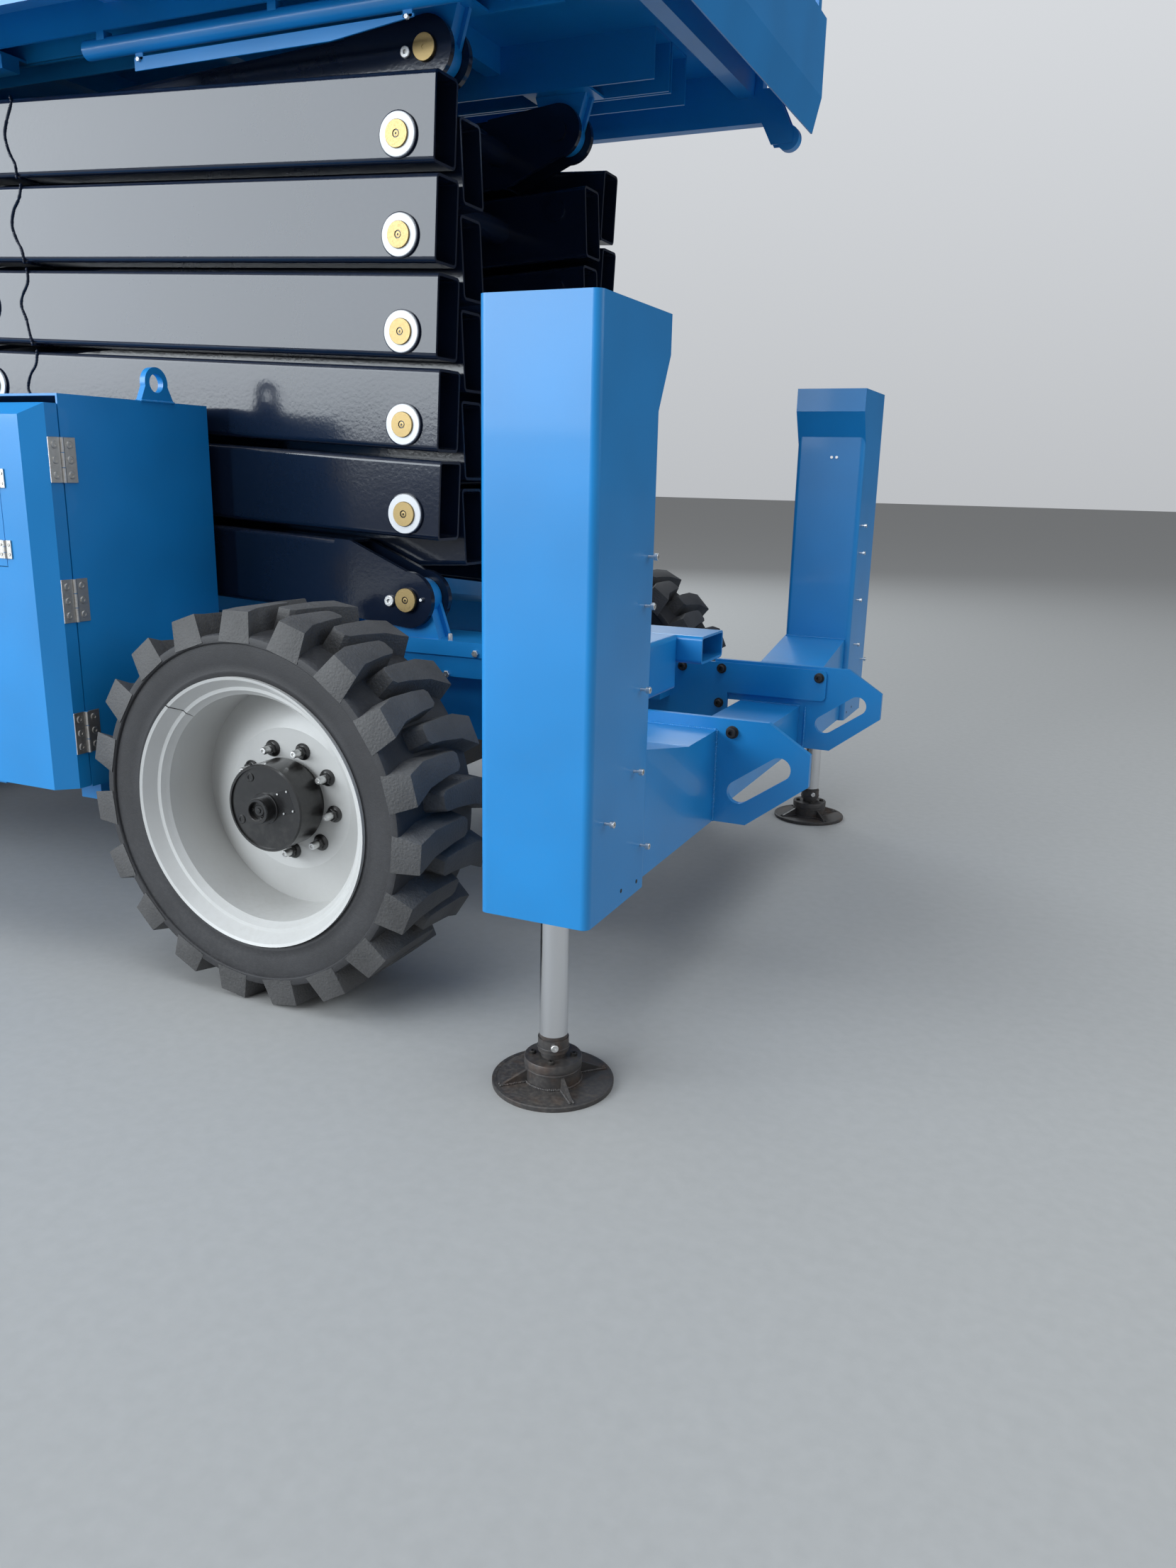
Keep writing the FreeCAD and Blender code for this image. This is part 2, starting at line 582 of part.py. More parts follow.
def hub_shape():
    """Left-hand wheel hub about the tyre's centre: a lipped drum with a hollow boss, through the disc."""
    disc = DISC_Y - TYRE_MID
    inner = disc - DISC_THICKNESS
    face = disc + HUB_LENGTH
    end = face - HUB_RECESS + HUB_BOSS_LENGTH
    back = inner - HUB_INNER_LENGTH
    boss, lip, neck = HUB_BOSS_RADIUS, HUB_RADIUS - HUB_LIP, HUB_RADIUS - 10.05
    drum = ring_section([
        (0, end - 14), (boss - 8, end - 14), (boss - 8, end), (boss, end), (boss, face - HUB_RECESS),
        (lip, face - HUB_RECESS), (lip, face), (HUB_RADIUS - 4, face), (HUB_RADIUS, face - 4),
        (HUB_RADIUS, disc + 20), (neck, disc + 20), (neck, inner), (HUB_FLANGE_RADIUS, inner),
        (HUB_FLANGE_RADIUS, inner - 18), (HUB_BACK_RADIUS, inner - 18), (HUB_BACK_RADIUS, back), (0, back)])
    return drum.cut(cyl_y(0, 0, SPINDLE_RADIUS + RUNNING_FIT, back - 1, back + SPINDLE_LENGTH + 5))


def make_wheels():
    for name, shape in (("tyre", tyre_shape()), ("rim", rim_shape()), ("hub", hub_shape())):
        for end, sign in ENDS:
            for side, flank in SIDES:
                piece = shape.copy() if flank > 0 else mirror_side(shape)
                piece.translate(V(sign * WHEEL_X, flank * TYRE_MID, TYRE_RADIUS))
                save("%s_%s_%s" % (name, end, side), piece)


def axle_seats(x):
    """Blocks between an axle and the sills above it."""
    return both_sides(box(x - AXLE_SEAT, x + AXLE_SEAT, SILL_INNER, SILL_OUTER,
                          TYRE_RADIUS + AXLE_HALF_HEIGHT, SILL_BOTTOM))


def make_front_axle():
    """Fixed axle: a box beam with a motor housing against each hub."""
    x, z = WHEEL_X, TYRE_RADIUS
    hub_inner = DISC_Y - DISC_THICKNESS - HUB_INNER_LENGTH
    flange_y = KINGPIN_Y + 16
    beam = box(x - AXLE_HALF_DEPTH, x + AXLE_HALF_DEPTH, -flange_y, flange_y,
               z - AXLE_HALF_HEIGHT, z + AXLE_HALF_HEIGHT)
    flange = box(x - AXLE_FLANGE, x + AXLE_FLANGE, flange_y - 1, flange_y + 30,
                 z - AXLE_FLANGE, z + AXLE_FLANGE)
    motor = cyl_y(x, z, BRAKE_RADIUS, flange_y + 30, hub_inner - 4)
    spindle = cyl_y(x, z, SPINDLE_RADIUS, flange_y + 30, hub_inner + SPINDLE_LENGTH)
    ends = [piece for shape in (flange, motor, spindle) for piece in both_sides(shape)]
    save("front_axle", fuse([beam] + ends + axle_seats(x)))


def make_rear_axle():
    """Steered axle: a box beam with a yoke at each end, its knuckles and the steering ram."""
    x, z = -WHEEL_X, TYRE_RADIUS
    hub_inner = DISC_Y - DISC_THICKNESS - HUB_INNER_LENGTH
    beam_end = KINGPIN_Y - 80
    yoke_z = KNUCKLE_HEIGHT / 2 + SIDE_PLAY
    tip_z = yoke_z + YOKE_PLATE
    beam = box(x - AXLE_HALF_DEPTH, x + AXLE_HALF_DEPTH, -beam_end, beam_end,
               z - AXLE_HALF_HEIGHT, z + AXLE_HALF_HEIGHT)
    pieces = [box(x - YOKE_NOSE, x + YOKE_NOSE, beam_end - 40, beam_end + 1, z - tip_z, z + tip_z)]
    for low in (z + yoke_z, z - tip_z):
        pieces.append(box(x - YOKE_NOSE, x + YOKE_NOSE, beam_end - 40, KINGPIN_Y, low, low + YOKE_PLATE))
        pieces.append(cyl_z(x, KINGPIN_Y, YOKE_NOSE, low, low + YOKE_PLATE))
    pieces.append(cyl_z(x, KINGPIN_Y, KINGPIN_RADIUS, z - tip_z, z + tip_z))
    ram_x = x + STEER_ARM
    ram = cyl_y(ram_x, z, STEER_RAM_RADIUS, -STEER_RAM_HALF, STEER_RAM_HALF)
    mount = box(x + AXLE_HALF_DEPTH - 1, ram_x, -STEER_RAM_HALF / 3, STEER_RAM_HALF / 3, z - 25, z + 25)
    mirrored = [mirror_side(piece) for piece in pieces]
    axle = fuse([beam, ram, mount] + pieces + mirrored + axle_seats(x))
    bore = cyl_y(ram_x, z, STEER_ROD_RADIUS + RUNNING_FIT, -STEER_RAM_HALF - 1, STEER_RAM_HALF + 1)
    save("rear_axle", axle.cut(bore))
    rod_end = cyl_y(ram_x, z, STEER_ROD_RADIUS + 8, beam_end, KINGPIN_Y - STEER_ROD_SHORT)
    rod = cyl_y(ram_x, z, STEER_ROD_RADIUS, -beam_end - 10, beam_end + 10)
    save("steering_rod", fuse([rod] + both_sides(rod_end)))
    motor_y = KINGPIN_Y + YOKE_NOSE + 6
    body = cyl_z(x, KINGPIN_Y, YOKE_NOSE, z - KNUCKLE_HEIGHT / 2, z + KNUCKLE_HEIGHT / 2)
    plate = box(x - KNUCKLE_HEIGHT / 2, x + KNUCKLE_HEIGHT / 2, KINGPIN_Y + 20, motor_y,
                z - KNUCKLE_HEIGHT / 2, z + KNUCKLE_HEIGHT / 2)
    motor = cyl_y(x, z, BRAKE_RADIUS - 6, motor_y, hub_inner - 4)
    spindle = cyl_y(x, z, SPINDLE_RADIUS, motor_y, hub_inner + SPINDLE_LENGTH)
    arm = box(x, ram_x, KINGPIN_Y - 30, KINGPIN_Y + 30, z - 30, z + 30)
    knuckle = fuse([body, plate, motor, spindle, arm, cyl_z(ram_x, KINGPIN_Y, 34, z - 30, z + 30)])
    knuckle = knuckle.cut(cyl_z(x, KINGPIN_Y, KINGPIN_RADIUS + RUNNING_FIT, z - tip_z, z + tip_z))
    save("knuckle_left", knuckle)
    save("knuckle_right", mirror_side(knuckle))


def pin_bracket(y_mid, pin_z, foot_z):
    """Bracket that fills a fork: a round boss between two side plates, with a set-back web."""
    half = FORK_INSIDE / 2 - SIDE_PLAY
    face = half - BRACKET_PLATE
    shapes = [cyl_y(PIN_REACH, pin_z, BRACKET_BOSS, y_mid - half, y_mid + half)]
    for inset, y0, y1 in ((0, -half, -face), (BRACKET_PLATE, -face, face), (0, face, half)):
        foot, top = BRACKET_FOOT - inset, BRACKET_BOSS - 4 - inset
        outline = [(PIN_REACH - foot, foot_z), (PIN_REACH + foot, foot_z),
                   (PIN_REACH + top, pin_z), (PIN_REACH - top, pin_z)]
        shapes.append(prism_y(outline, y_mid + y0, y_mid + y1))
    bore = cyl_y(PIN_REACH, pin_z, PIN_RADIUS + RUNNING_FIT, y_mid - FORK_INSIDE, y_mid + FORK_INSIDE)
    return fuse(shapes).cut(bore)


def rounded_plate_y(outline, y0, y1, corner, near_x):
    """Plate across Y whose corners at one end are rounded."""
    plate = prism_y(outline, y0, y1)
    ends = [e for e in plate.Edges if abs(e.BoundBox.XMin - near_x) < 1 and e.BoundBox.YLength > 1
            and e.BoundBox.ZLength < 1]
    return plate.makeFillet(corner, ends)


def make_chassis():
    face = BEAM_OUTER - BEAM_STEP
    beam = prism_x([(BEAM_INNER, BEAM_BOTTOM), (face, BEAM_BOTTOM), (face, BEAM_TOP - BEAM_LIP),
                    (BEAM_OUTER, BEAM_TOP - BEAM_LIP), (BEAM_OUTER, BEAM_TOP), (BEAM_INNER, BEAM_TOP)],
                   -BEAM_END_X, BEAM_END_X)
    sill = box(-SILL_END_X, SILL_END_X, SILL_INNER, SILL_OUTER, SILL_BOTTOM, BEAM_BOTTOM)
    rail = box(RAIL_START_X, RAIL_END_X, INNER_ARM_MID - RAIL_WIDTH / 2, INNER_ARM_MID + RAIL_WIDTH / 2,
               BEAM_TOP, RAIL_TOP)
    side_plate = rounded_plate_y(
        [(SIDE_PLATE_START_X, SIDE_PLATE_TOP), (SIDE_PLATE_END_X, SIDE_PLATE_TOP),
         (SIDE_PLATE_END_X, SIDE_PLATE_TONGUE_Z), (SIDE_PLATE_TONGUE_X, SIDE_PLATE_TONGUE_Z),
         (SIDE_PLATE_TONGUE_X, SIDE_PLATE_BOTTOM), (SIDE_PLATE_START_X, SIDE_PLATE_BOTTOM)],
        SILL_OUTER - SIDE_PLATE, SILL_OUTER, 18, SIDE_PLATE_END_X)
    pieces = [beam, sill, rail, side_plate, mirror_end(side_plate),
              pin_bracket(OUTER_ARM_MID, LOWEST_PIN_Z, BEAM_TOP)]
    # Shelves that carry the side boxes
    for x in SHELF_PLACES:
        x0, x1, low = x - SHELF_HALF, x + SHELF_HALF, BOX_BOTTOM - SHELF_DEPTH
        pieces.append(box(x0, x1, BEAM_OUTER, BOX_OUTER - 60, low, BOX_BOTTOM))
        pieces.append(box(x0, x1, BEAM_OUTER - 30, BEAM_OUTER + 20, low, BEAM_BOTTOM + 20))
    mirrored = [mirror_side(piece) for piece in pieces]
    cross = [box(x - 60, x + 60, -BEAM_INNER, BEAM_INNER, BEAM_BOTTOM - 40, BEAM_TOP - 20)
             for x in CROSS_MEMBER_PLACES]
    # Tube at the front that takes the stowed tow bar, and the box beside it
    top, low = BEAM_TOP, BEAM_TOP - STOW_TUBE_HEIGHT
    middle = (top + low) / 2
    width = 2 * STOW_TUBE_HALF_WIDTH
    wall = STOW_TUBE_WALL
    tube = rounded_rect_x(STOW_TUBE_START_X, STOW_TUBE_END_X, 0, middle, width, STOW_TUBE_HEIGHT,
                          FRONT_BOX_CORNER)
    hollow = rounded_rect_x(STOW_TUBE_START_X + wall, STOW_TUBE_END_X + 1, 0, middle, width - 2 * wall,
                            STOW_TUBE_HEIGHT - 2 * wall, FRONT_BOX_CORNER - wall)
    x0, x1, y0, y1, bottom = FRONT_BOX
    front_box = box(x0, x1, y0, y1 + 1, bottom, BEAM_TOP)
    outer_edges = [e for e in front_box.Edges if e.BoundBox.XMin > x1 - 1 or e.BoundBox.YMax < y0 + 1]
    front_box = front_box.makeFillet(FRONT_BOX_CORNER, outer_edges)
    save("chassis_frame", fuse(pieces + mirrored + cross + [tube.cut(hollow), front_box]))


def make_outriggers():
    middle = box(POST_X0, JACK_X + CROSS_BEAM_FRONT, -SILL_OUTER, SILL_OUTER,
                 CROSS_BEAM_BOTTOM, CROSS_BEAM_TOP)
    arm = arm_box(SILL_OUTER)
    stub = box(POST_X0 + STUB_INSET, ARM_X1 - STUB_INSET, POST_INNER, JACK_Y,
               CROSS_BEAM_BOTTOM + STUB_RISE, ARM_TOP_OUTER)
    stub = stub.cut(cyl_z(JACK_X, JACK_Y, JACK_BARREL_RADIUS, 0, POST_TOP))
    beam = fuse([middle] + both_sides(arm) + both_sides(stub))
    save("outrigger_beams", [beam, mirror_end(beam)])
    cover = post_cover()
    save("jack_covers", [cover, mirror_side(cover), mirror_end(cover), mirror_end(mirror_side(cover))])
    bore = JACK_ROD_RADIUS + RUNNING_FIT
    neck = JACK_BARREL_BOTTOM + 70
    barrel = ring_z([(bore, JACK_BARREL_BOTTOM), (JACK_BARREL_RADIUS, JACK_BARREL_BOTTOM),
                     (JACK_BARREL_RADIUS, JACK_BARREL_TOP), (0, JACK_BARREL_TOP), (0, JACK_BARREL_TOP - 20),
                     (JACK_BORE, JACK_BARREL_TOP - 20), (JACK_BORE, neck), (bore, neck)])
    leg = jack_leg()
    barrels = []
    for end, sign in ENDS:
        for side, flank in SIDES:
            place = V(sign * JACK_X, flank * JACK_Y, 0)
            barrels.append(barrel.translated(place))
            save("jack_leg_%s_%s" % (end, side), leg.translated(place))
    save("jack_cylinders", barrels)


def arm_box(inner_y):
    """Left front outrigger arm from a plane out to its post, its top rising to the post."""
    outline = [(inner_y, CROSS_BEAM_BOTTOM), (POST_INNER, CROSS_BEAM_BOTTOM), (POST_INNER, ARM_TOP_OUTER),
               (ARM_BREAK_Y, ARM_TOP_INNER), (inner_y, ARM_TOP_INNER)]
    return prism_x(outline, POST_X0, ARM_X1)


def ring_z(profile):
    loop = [V(radius, 0, z) for radius, z in profile]
    return Part.Face(Part.makePolygon(loop + loop[:1])).revolve(V(0, 0, 0), Z_AXIS, 360)


def jack_leg():
    """Jack rod with its piston, ball neck, clamp ring and gusseted round foot."""
    rod, piston, piston_low = JACK_ROD_RADIUS, JACK_BORE - 0.2, JACK_ROD_TOP - JACK_PISTON
    leg = ring_z([(0, 0), (PAD_RADIUS, 0), (PAD_RADIUS, PAD_THICKNESS), (CUP_RADIUS, PAD_THICKNESS),
                  (CUP_RADIUS, CUP_TOP), (CUP_RADIUS + 1, CUP_TOP), (CUP_RADIUS + 1, CLAMP_TOP),
                  (NECK_RADIUS, CLAMP_TOP), (NECK_RADIUS, COLLAR[0]), (COLLAR_RADIUS, COLLAR[0]),
                  (COLLAR_RADIUS, COLLAR[1]), (rod, COLLAR[1]), (rod, piston_low), (piston, piston_low),
                  (piston, JACK_ROD_TOP), (0, JACK_ROD_TOP)])
    inner = CUP_RADIUS - 2
    outline = [(inner, PAD_THICKNESS), (PAD_RADIUS - 12, PAD_THICKNESS), (inner, CUP_TOP - 8)]
    gusset = prism_y(outline, -GUSSET / 2, GUSSET / 2)
    gussets = []
    for quarter in range(4):
        copy = gusset.copy()
        copy.rotate(V(0, 0, 0), Z_AXIS, 45 + 90 * quarter)
        gussets.append(copy)
    return fuse([leg] + gussets)


def cover_prism(sheet):
    """Outline of a jack cover, drawn in by its sheet, with rounded corners on its long edges."""
    bottom = POST_BOTTOM - (1 if sheet else 0)
    outline = [(POST_INNER + sheet, bottom), (POST_OUTER - sheet, bottom),
               (POST_OUTER - sheet, POST_TOP - sheet), (HOOD_INNER + sheet, POST_TOP - sheet),
               (HOOD_INNER + sheet, HOOD_FOLD), (POST_INNER + sheet, HOOD_BOTTOM)]
    skin = prism_x(outline, POST_X0 + sheet, POST_X1 - sheet)
    long_edges = [e for e in skin.Edges if e.BoundBox.ZLength > POST_TOP / 2]
    return skin.makeFillet(POST_BEND - sheet, long_edges)


def post_cover():
    """Folded sheet cover about the left front jack, wider at its hood."""
    doorway = box(POST_X0 + STUB_INSET - SEAT_GAP, ARM_X1 - STUB_INSET + SEAT_GAP, POST_INNER - 1,
                  POST_INNER + SHEET + 1, CROSS_BEAM_BOTTOM + STUB_RISE - SEAT_GAP, ARM_TOP_OUTER + SEAT_GAP)
    return cover_prism(0).cut([cover_prism(SHEET), doorway])


def make_tow_plates():
    y0, y1 = TOW_PLATE_Y - TOW_PLATE / 2, TOW_PLATE_Y + TOW_PLATE / 2
    foot_x = ARM_X1 + 2
    outline = [(TOW_X0, CROSS_BEAM_TOP), (TOW_X0, TOW_TOP), (TOW_BREAK_X, TOW_TOP), (TOW_TIP_X, TOW_TIP[1]),
               (TOW_TIP_X, TOW_TIP[0]), (TOW_FOOT_X, CROSS_BEAM_BOTTOM), (foot_x, CROSS_BEAM_BOTTOM),
               (foot_x, CROSS_BEAM_TOP)]
    plate = prism_y(outline, y0, y1)
    slot_a, slot_b = [V(x, 0, z) for x, z in TOW_SLOT]
    plate = plate.cut([slot_between(slot_a, slot_b, TOW_SLOT_RADIUS, y0 - 1, y1 + 1), arm_box(y0 - 1)])
    plates = both_sides(plate)
    save("tow_plates", plates + [mirror_end(piece) for piece in plates])


def slot_between(a, b, radius, y0, y1):
    """Round-ended bar across Y between two points of the XZ plane."""
    along = V(b.x - a.x, 0, b.z - a.z).normalize()
    across = V(-along.z, 0, along.x) * radius
    corners = [a + across, b + across, b - across, a - across]
    web = prism_y([(p.x, p.z) for p in corners], y0, y1)
    return web.fuse([cyl_y(a.x, a.z, radius, y0, y1), cyl_y(b.x, b.z, radius, y0, y1)]).removeSplitter()


def lifting_lug():
    x, y, top = BOX_FRONT_X - LIFT_LUG_PLATE, LIFT_LUG_Y, BOX_TOP
    foot, shoulder = LIFT_LUG_RADIUS + 20, LIFT_LUG_RADIUS - 5
    lug = prism_x([(y - foot, top), (y + foot, top), (y + shoulder, top + LIFT_LUG_RISE),
                   (y - shoulder, top + LIFT_LUG_RISE)], x, BOX_FRONT_X)
    centre = V(x, y, top + LIFT_LUG_RISE)
    lug = lug.fuse(Part.makeCylinder(LIFT_LUG_RADIUS, LIFT_LUG_PLATE, centre, X_AXIS))
    return lug.cut(Part.makeCylinder(LIFT_LUG_BORE, LIFT_LUG_PLATE, centre, X_AXIS)).removeSplitter()


def make_side_boxes():
    front, rear = BOX_FRONT_X, BOX_REAR_X
    skin = box(rear, front, BOX_INNER, BOX_OUTER, BOX_BOTTOM, BOX_TOP)
    hollow = box(rear + BOX_SHEET, front - BOX_SHEET, BOX_INNER + BOX_SHEET, BOX_OUTER + 1,
                 BOX_BOTTOM + BOX_SHEET, BOX_TOP - BOX_SHEET)
    middle = (front + rear) / 2
    pillar = box(middle - 25, middle + 25, BOX_OUTER - 60, BOX_OUTER, BOX_BOTTOM, BOX_TOP)
    fixed = []
    doors = {}
    for end, sign in ENDS:
        edge = front if sign > 0 else rear
        pairs = [butt_hinge(edge, sign, z) for z in DOOR_HINGE_Z]
        fixed += [pair[0] for pair in pairs]
        doors[end] = fuse([door_shape(edge, middle, sign)] + [pair[1] for pair in pairs])
    shell = fuse([skin.cut(hollow), pillar, lifting_lug()] + fixed)
    save("left_side_box", shell)
    save("right_side_box", mirror_side(shell))
    save("left_door_front", doors["front"])
    save("left_door_rear", doors["rear"])
    save("right_door_rear", mirror_side(doors["rear"]))
    hatch_door, hatch = cut_hatch(doors["front"], front - HATCH_FROM_EDGE)
    save("right_door_front", mirror_side(hatch_door))
    save("right_hatch", mirror_side(hatch))
    save("engine_block", box(ENGINE[0], ENGINE[1], BOX_INNER + 60, BOX_OUTER - 80,
                             BOX_BOTTOM + BOX_SHEET, ENGINE[2]))


def cut_hatch(door, hinge_x):
    """Cut a hatch out of a door's face and hang it on two small hinges."""
    face = BOX_OUTER + DOOR_DEPTH
    low, high = HATCH_Z
    far_x = hinge_x - HATCH_WIDTH
    gap, leaf = HATCH_GAP, HATCH_LEAF
    door = door.cut(box(far_x, hinge_x, face - 2 * DOOR_SHEET, face + 1, low, high))
    hatch = box(far_x + gap, hinge_x - gap, face - DOOR_SHEET, face, low + gap, high - gap)
    axis_x, axis_y = hinge_x - gap / 2, face + HATCH_AXIS
    y0, y1 = face - 0.4, face + 2.1
    half, third = HATCH_HINGE_LENGTH / 2, HATCH_HINGE_LENGTH / 6
    for z in HATCH_HINGE_Z:
        clear = cyl_z(axis_x, axis_y, HINGE_RADIUS + SEAT_GAP, z - half - SEAT_GAP, z + half + SEAT_GAP)
        middle, pin = knuckles(axis_x, axis_y, z, HATCH_HINGE_LENGTH)
        door_leaf = box(axis_x, axis_x + leaf, y0, y1, z - third + 0.3, z + third - 0.3)
        door = fuse([door.cut(clear), middle, door_leaf])
        door = door.cut(cyl_z(axis_x, axis_y, HINGE_PIN + RUNNING_FIT, z - half, z + half))
        hatch = hatch.cut(cyl_z(axis_x, axis_y, HINGE_RADIUS + SEAT_GAP, z - third, z + third))
        leaves = [box(axis_x - leaf, axis_x, y0, y1, z + a, z + b)
                  for a, b in ((-half, -third), (third, half))]
        hatch = fuse([hatch, pin] + leaves)
    return door, hatch


def knuckles(x, y, z, length):
    """Hinge about a vertical axis: the middle knuckle, and the outer knuckles with their pin."""
    third = length / 3
    middle = cyl_z(x, y, HINGE_RADIUS, z - third / 2 + 0.3, z + third / 2 - 0.3)
    middle = middle.cut(cyl_z(x, y, HINGE_PIN + RUNNING_FIT, z - length, z + length))
    pin = cyl_z(x, y, HINGE_PIN, z - length / 2, z + length / 2)
    ends = [cyl_z(x, y, HINGE_RADIUS, z - length / 2, z - third / 2),
            cyl_z(x, y, HINGE_RADIUS, z + third / 2, z + length / 2)]
    return middle, pin.fuse(ends)


def butt_hinge(edge, sign, z):
    """Door hinge on a corner of the left side box: the box's leaf and the door's leaf."""
    axis_x, axis_y = edge + sign * HINGE_RADIUS, BOX_OUTER + 2
    third = HINGE_LENGTH / 3
    x0, x1 = sorted((edge, edge + sign * HINGE_LEAF))
    middle, pin = knuckles(axis_x, axis_y, z, HINGE_LENGTH)
    leaf = box(x0, x1, BOX_OUTER - 45, BOX_OUTER - 4, z - HINGE_LENGTH / 2, z + HINGE_LENGTH / 2)
    tongue = box(x0, x1, BOX_OUTER - 5, axis_y, z - third / 2 + 0.3, z + third / 2 - 0.3)
    tongue = tongue.cut(cyl_z(axis_x, axis_y, HINGE_PIN + RUNNING_FIT, z - third, z + third))
    door_leaf = box(x0, x1, axis_y + 6, BOX_OUTER + DOOR_RETURN, z - HINGE_LENGTH / 2, z + HINGE_LENGTH / 2)
    arms = [box(x0, x1, axis_y + 2, axis_y + 7, z + a, z + b)
            for a, b in ((-HINGE_LENGTH / 2, -third / 2), (third / 2, HINGE_LENGTH / 2))]
    return fuse([middle, leaf, tongue]), fuse([pin, door_leaf] + arms)


def door_shape(edge, middle, sign):
    """Tray-shaped door on the left side, with a return, a bevel and a flat face."""
    hinge_x, free_x = edge, middle + sign * DOOR_GAP / 2
    y0 = BOX_OUTER + 4
    y1, y2 = BOX_OUTER + DOOR_RETURN, BOX_OUTER + DOOR_DEPTH
    z0, z1 = BOX_BOTTOM + 4, BOX_TOP - 26

    def loop(y, inset_hinge, inset_top):
        points = [(hinge_x - sign * inset_hinge, z0), (free_x, z0), (free_x, z1 - inset_top),
                  (hinge_x - sign * inset_hinge, z1 - inset_top)]
        return Part.makePolygon([V(x, y, z) for x, z in points + points[:1]])

    tray = Part.makeLoft([loop(y0, 0, 0), loop(y1, 0, 0)], True, True)
    crown = Part.makeLoft([loop(y1, 0, 0), loop(y2, DOOR_BEVEL, DOOR_TOP_BEVEL)], True, True)
    door = tray.fuse(crown).removeSplitter()
    s = DOOR_SHEET
    x0, x1 = sorted((hinge_x - sign * s, free_x + sign * s))
    pocket = box(x0, x1, y0 - 1, y1, z0 + s, z1 - s)
    x0, x1 = sorted((hinge_x - sign * (DOOR_BEVEL + s), free_x + sign * s))
    face_pocket = box(x0, x1, y1 - 1, y2 - s, z0 + s, z1 - DOOR_TOP_BEVEL - s)
    return door.cut([pocket, face_pocket])


def deck_channel(y0, y1):
    """Channel under the deck, open downwards."""
    outer = box(DECK_REAR_X, CHANNEL_FRONT_X, y0, y1, DECK_BEAM_BOTTOM, DECK_TOP - 1)
    inside = box(DECK_REAR_X - 1, CHANNEL_FRONT_X + 1, y0 + CHANNEL_WALL, y1 - CHANNEL_WALL,
                 DECK_BEAM_BOTTOM - 1, DECK_TOP - DECK_SHEET - CHANNEL_WALL)
    return outer.cut(inside)


def slide_roller():
    """Roller between two cheeks on the front end of the left side beam."""
    top, z = DECK_TOP - 64, DECK_TOP - 230
    outline = [(DECK_FRONT_X - 1, top), (DECK_FRONT_X + 48, top), (SLIDE_ROLLER_X + 20, z + 20),
               (SLIDE_ROLLER_X + 20, z - 20), (DECK_FRONT_X + 40, z - 20), (DECK_FRONT_X - 1, z + 60)]
    outer, inner = DECK_HALF_WIDTH, DECK_HALF_WIDTH - SIDE_BEAM_WIDTH
    cheeks = [prism_y(outline, outer - DECK_SHEET, outer), prism_y(outline, inner, inner + DECK_SHEET)]
    roller = cyl_y(SLIDE_ROLLER_X, z, SLIDE_ROLLER_RADIUS, inner + DECK_SHEET - 1, outer - DECK_SHEET + 1)
    return cheeks + [roller]


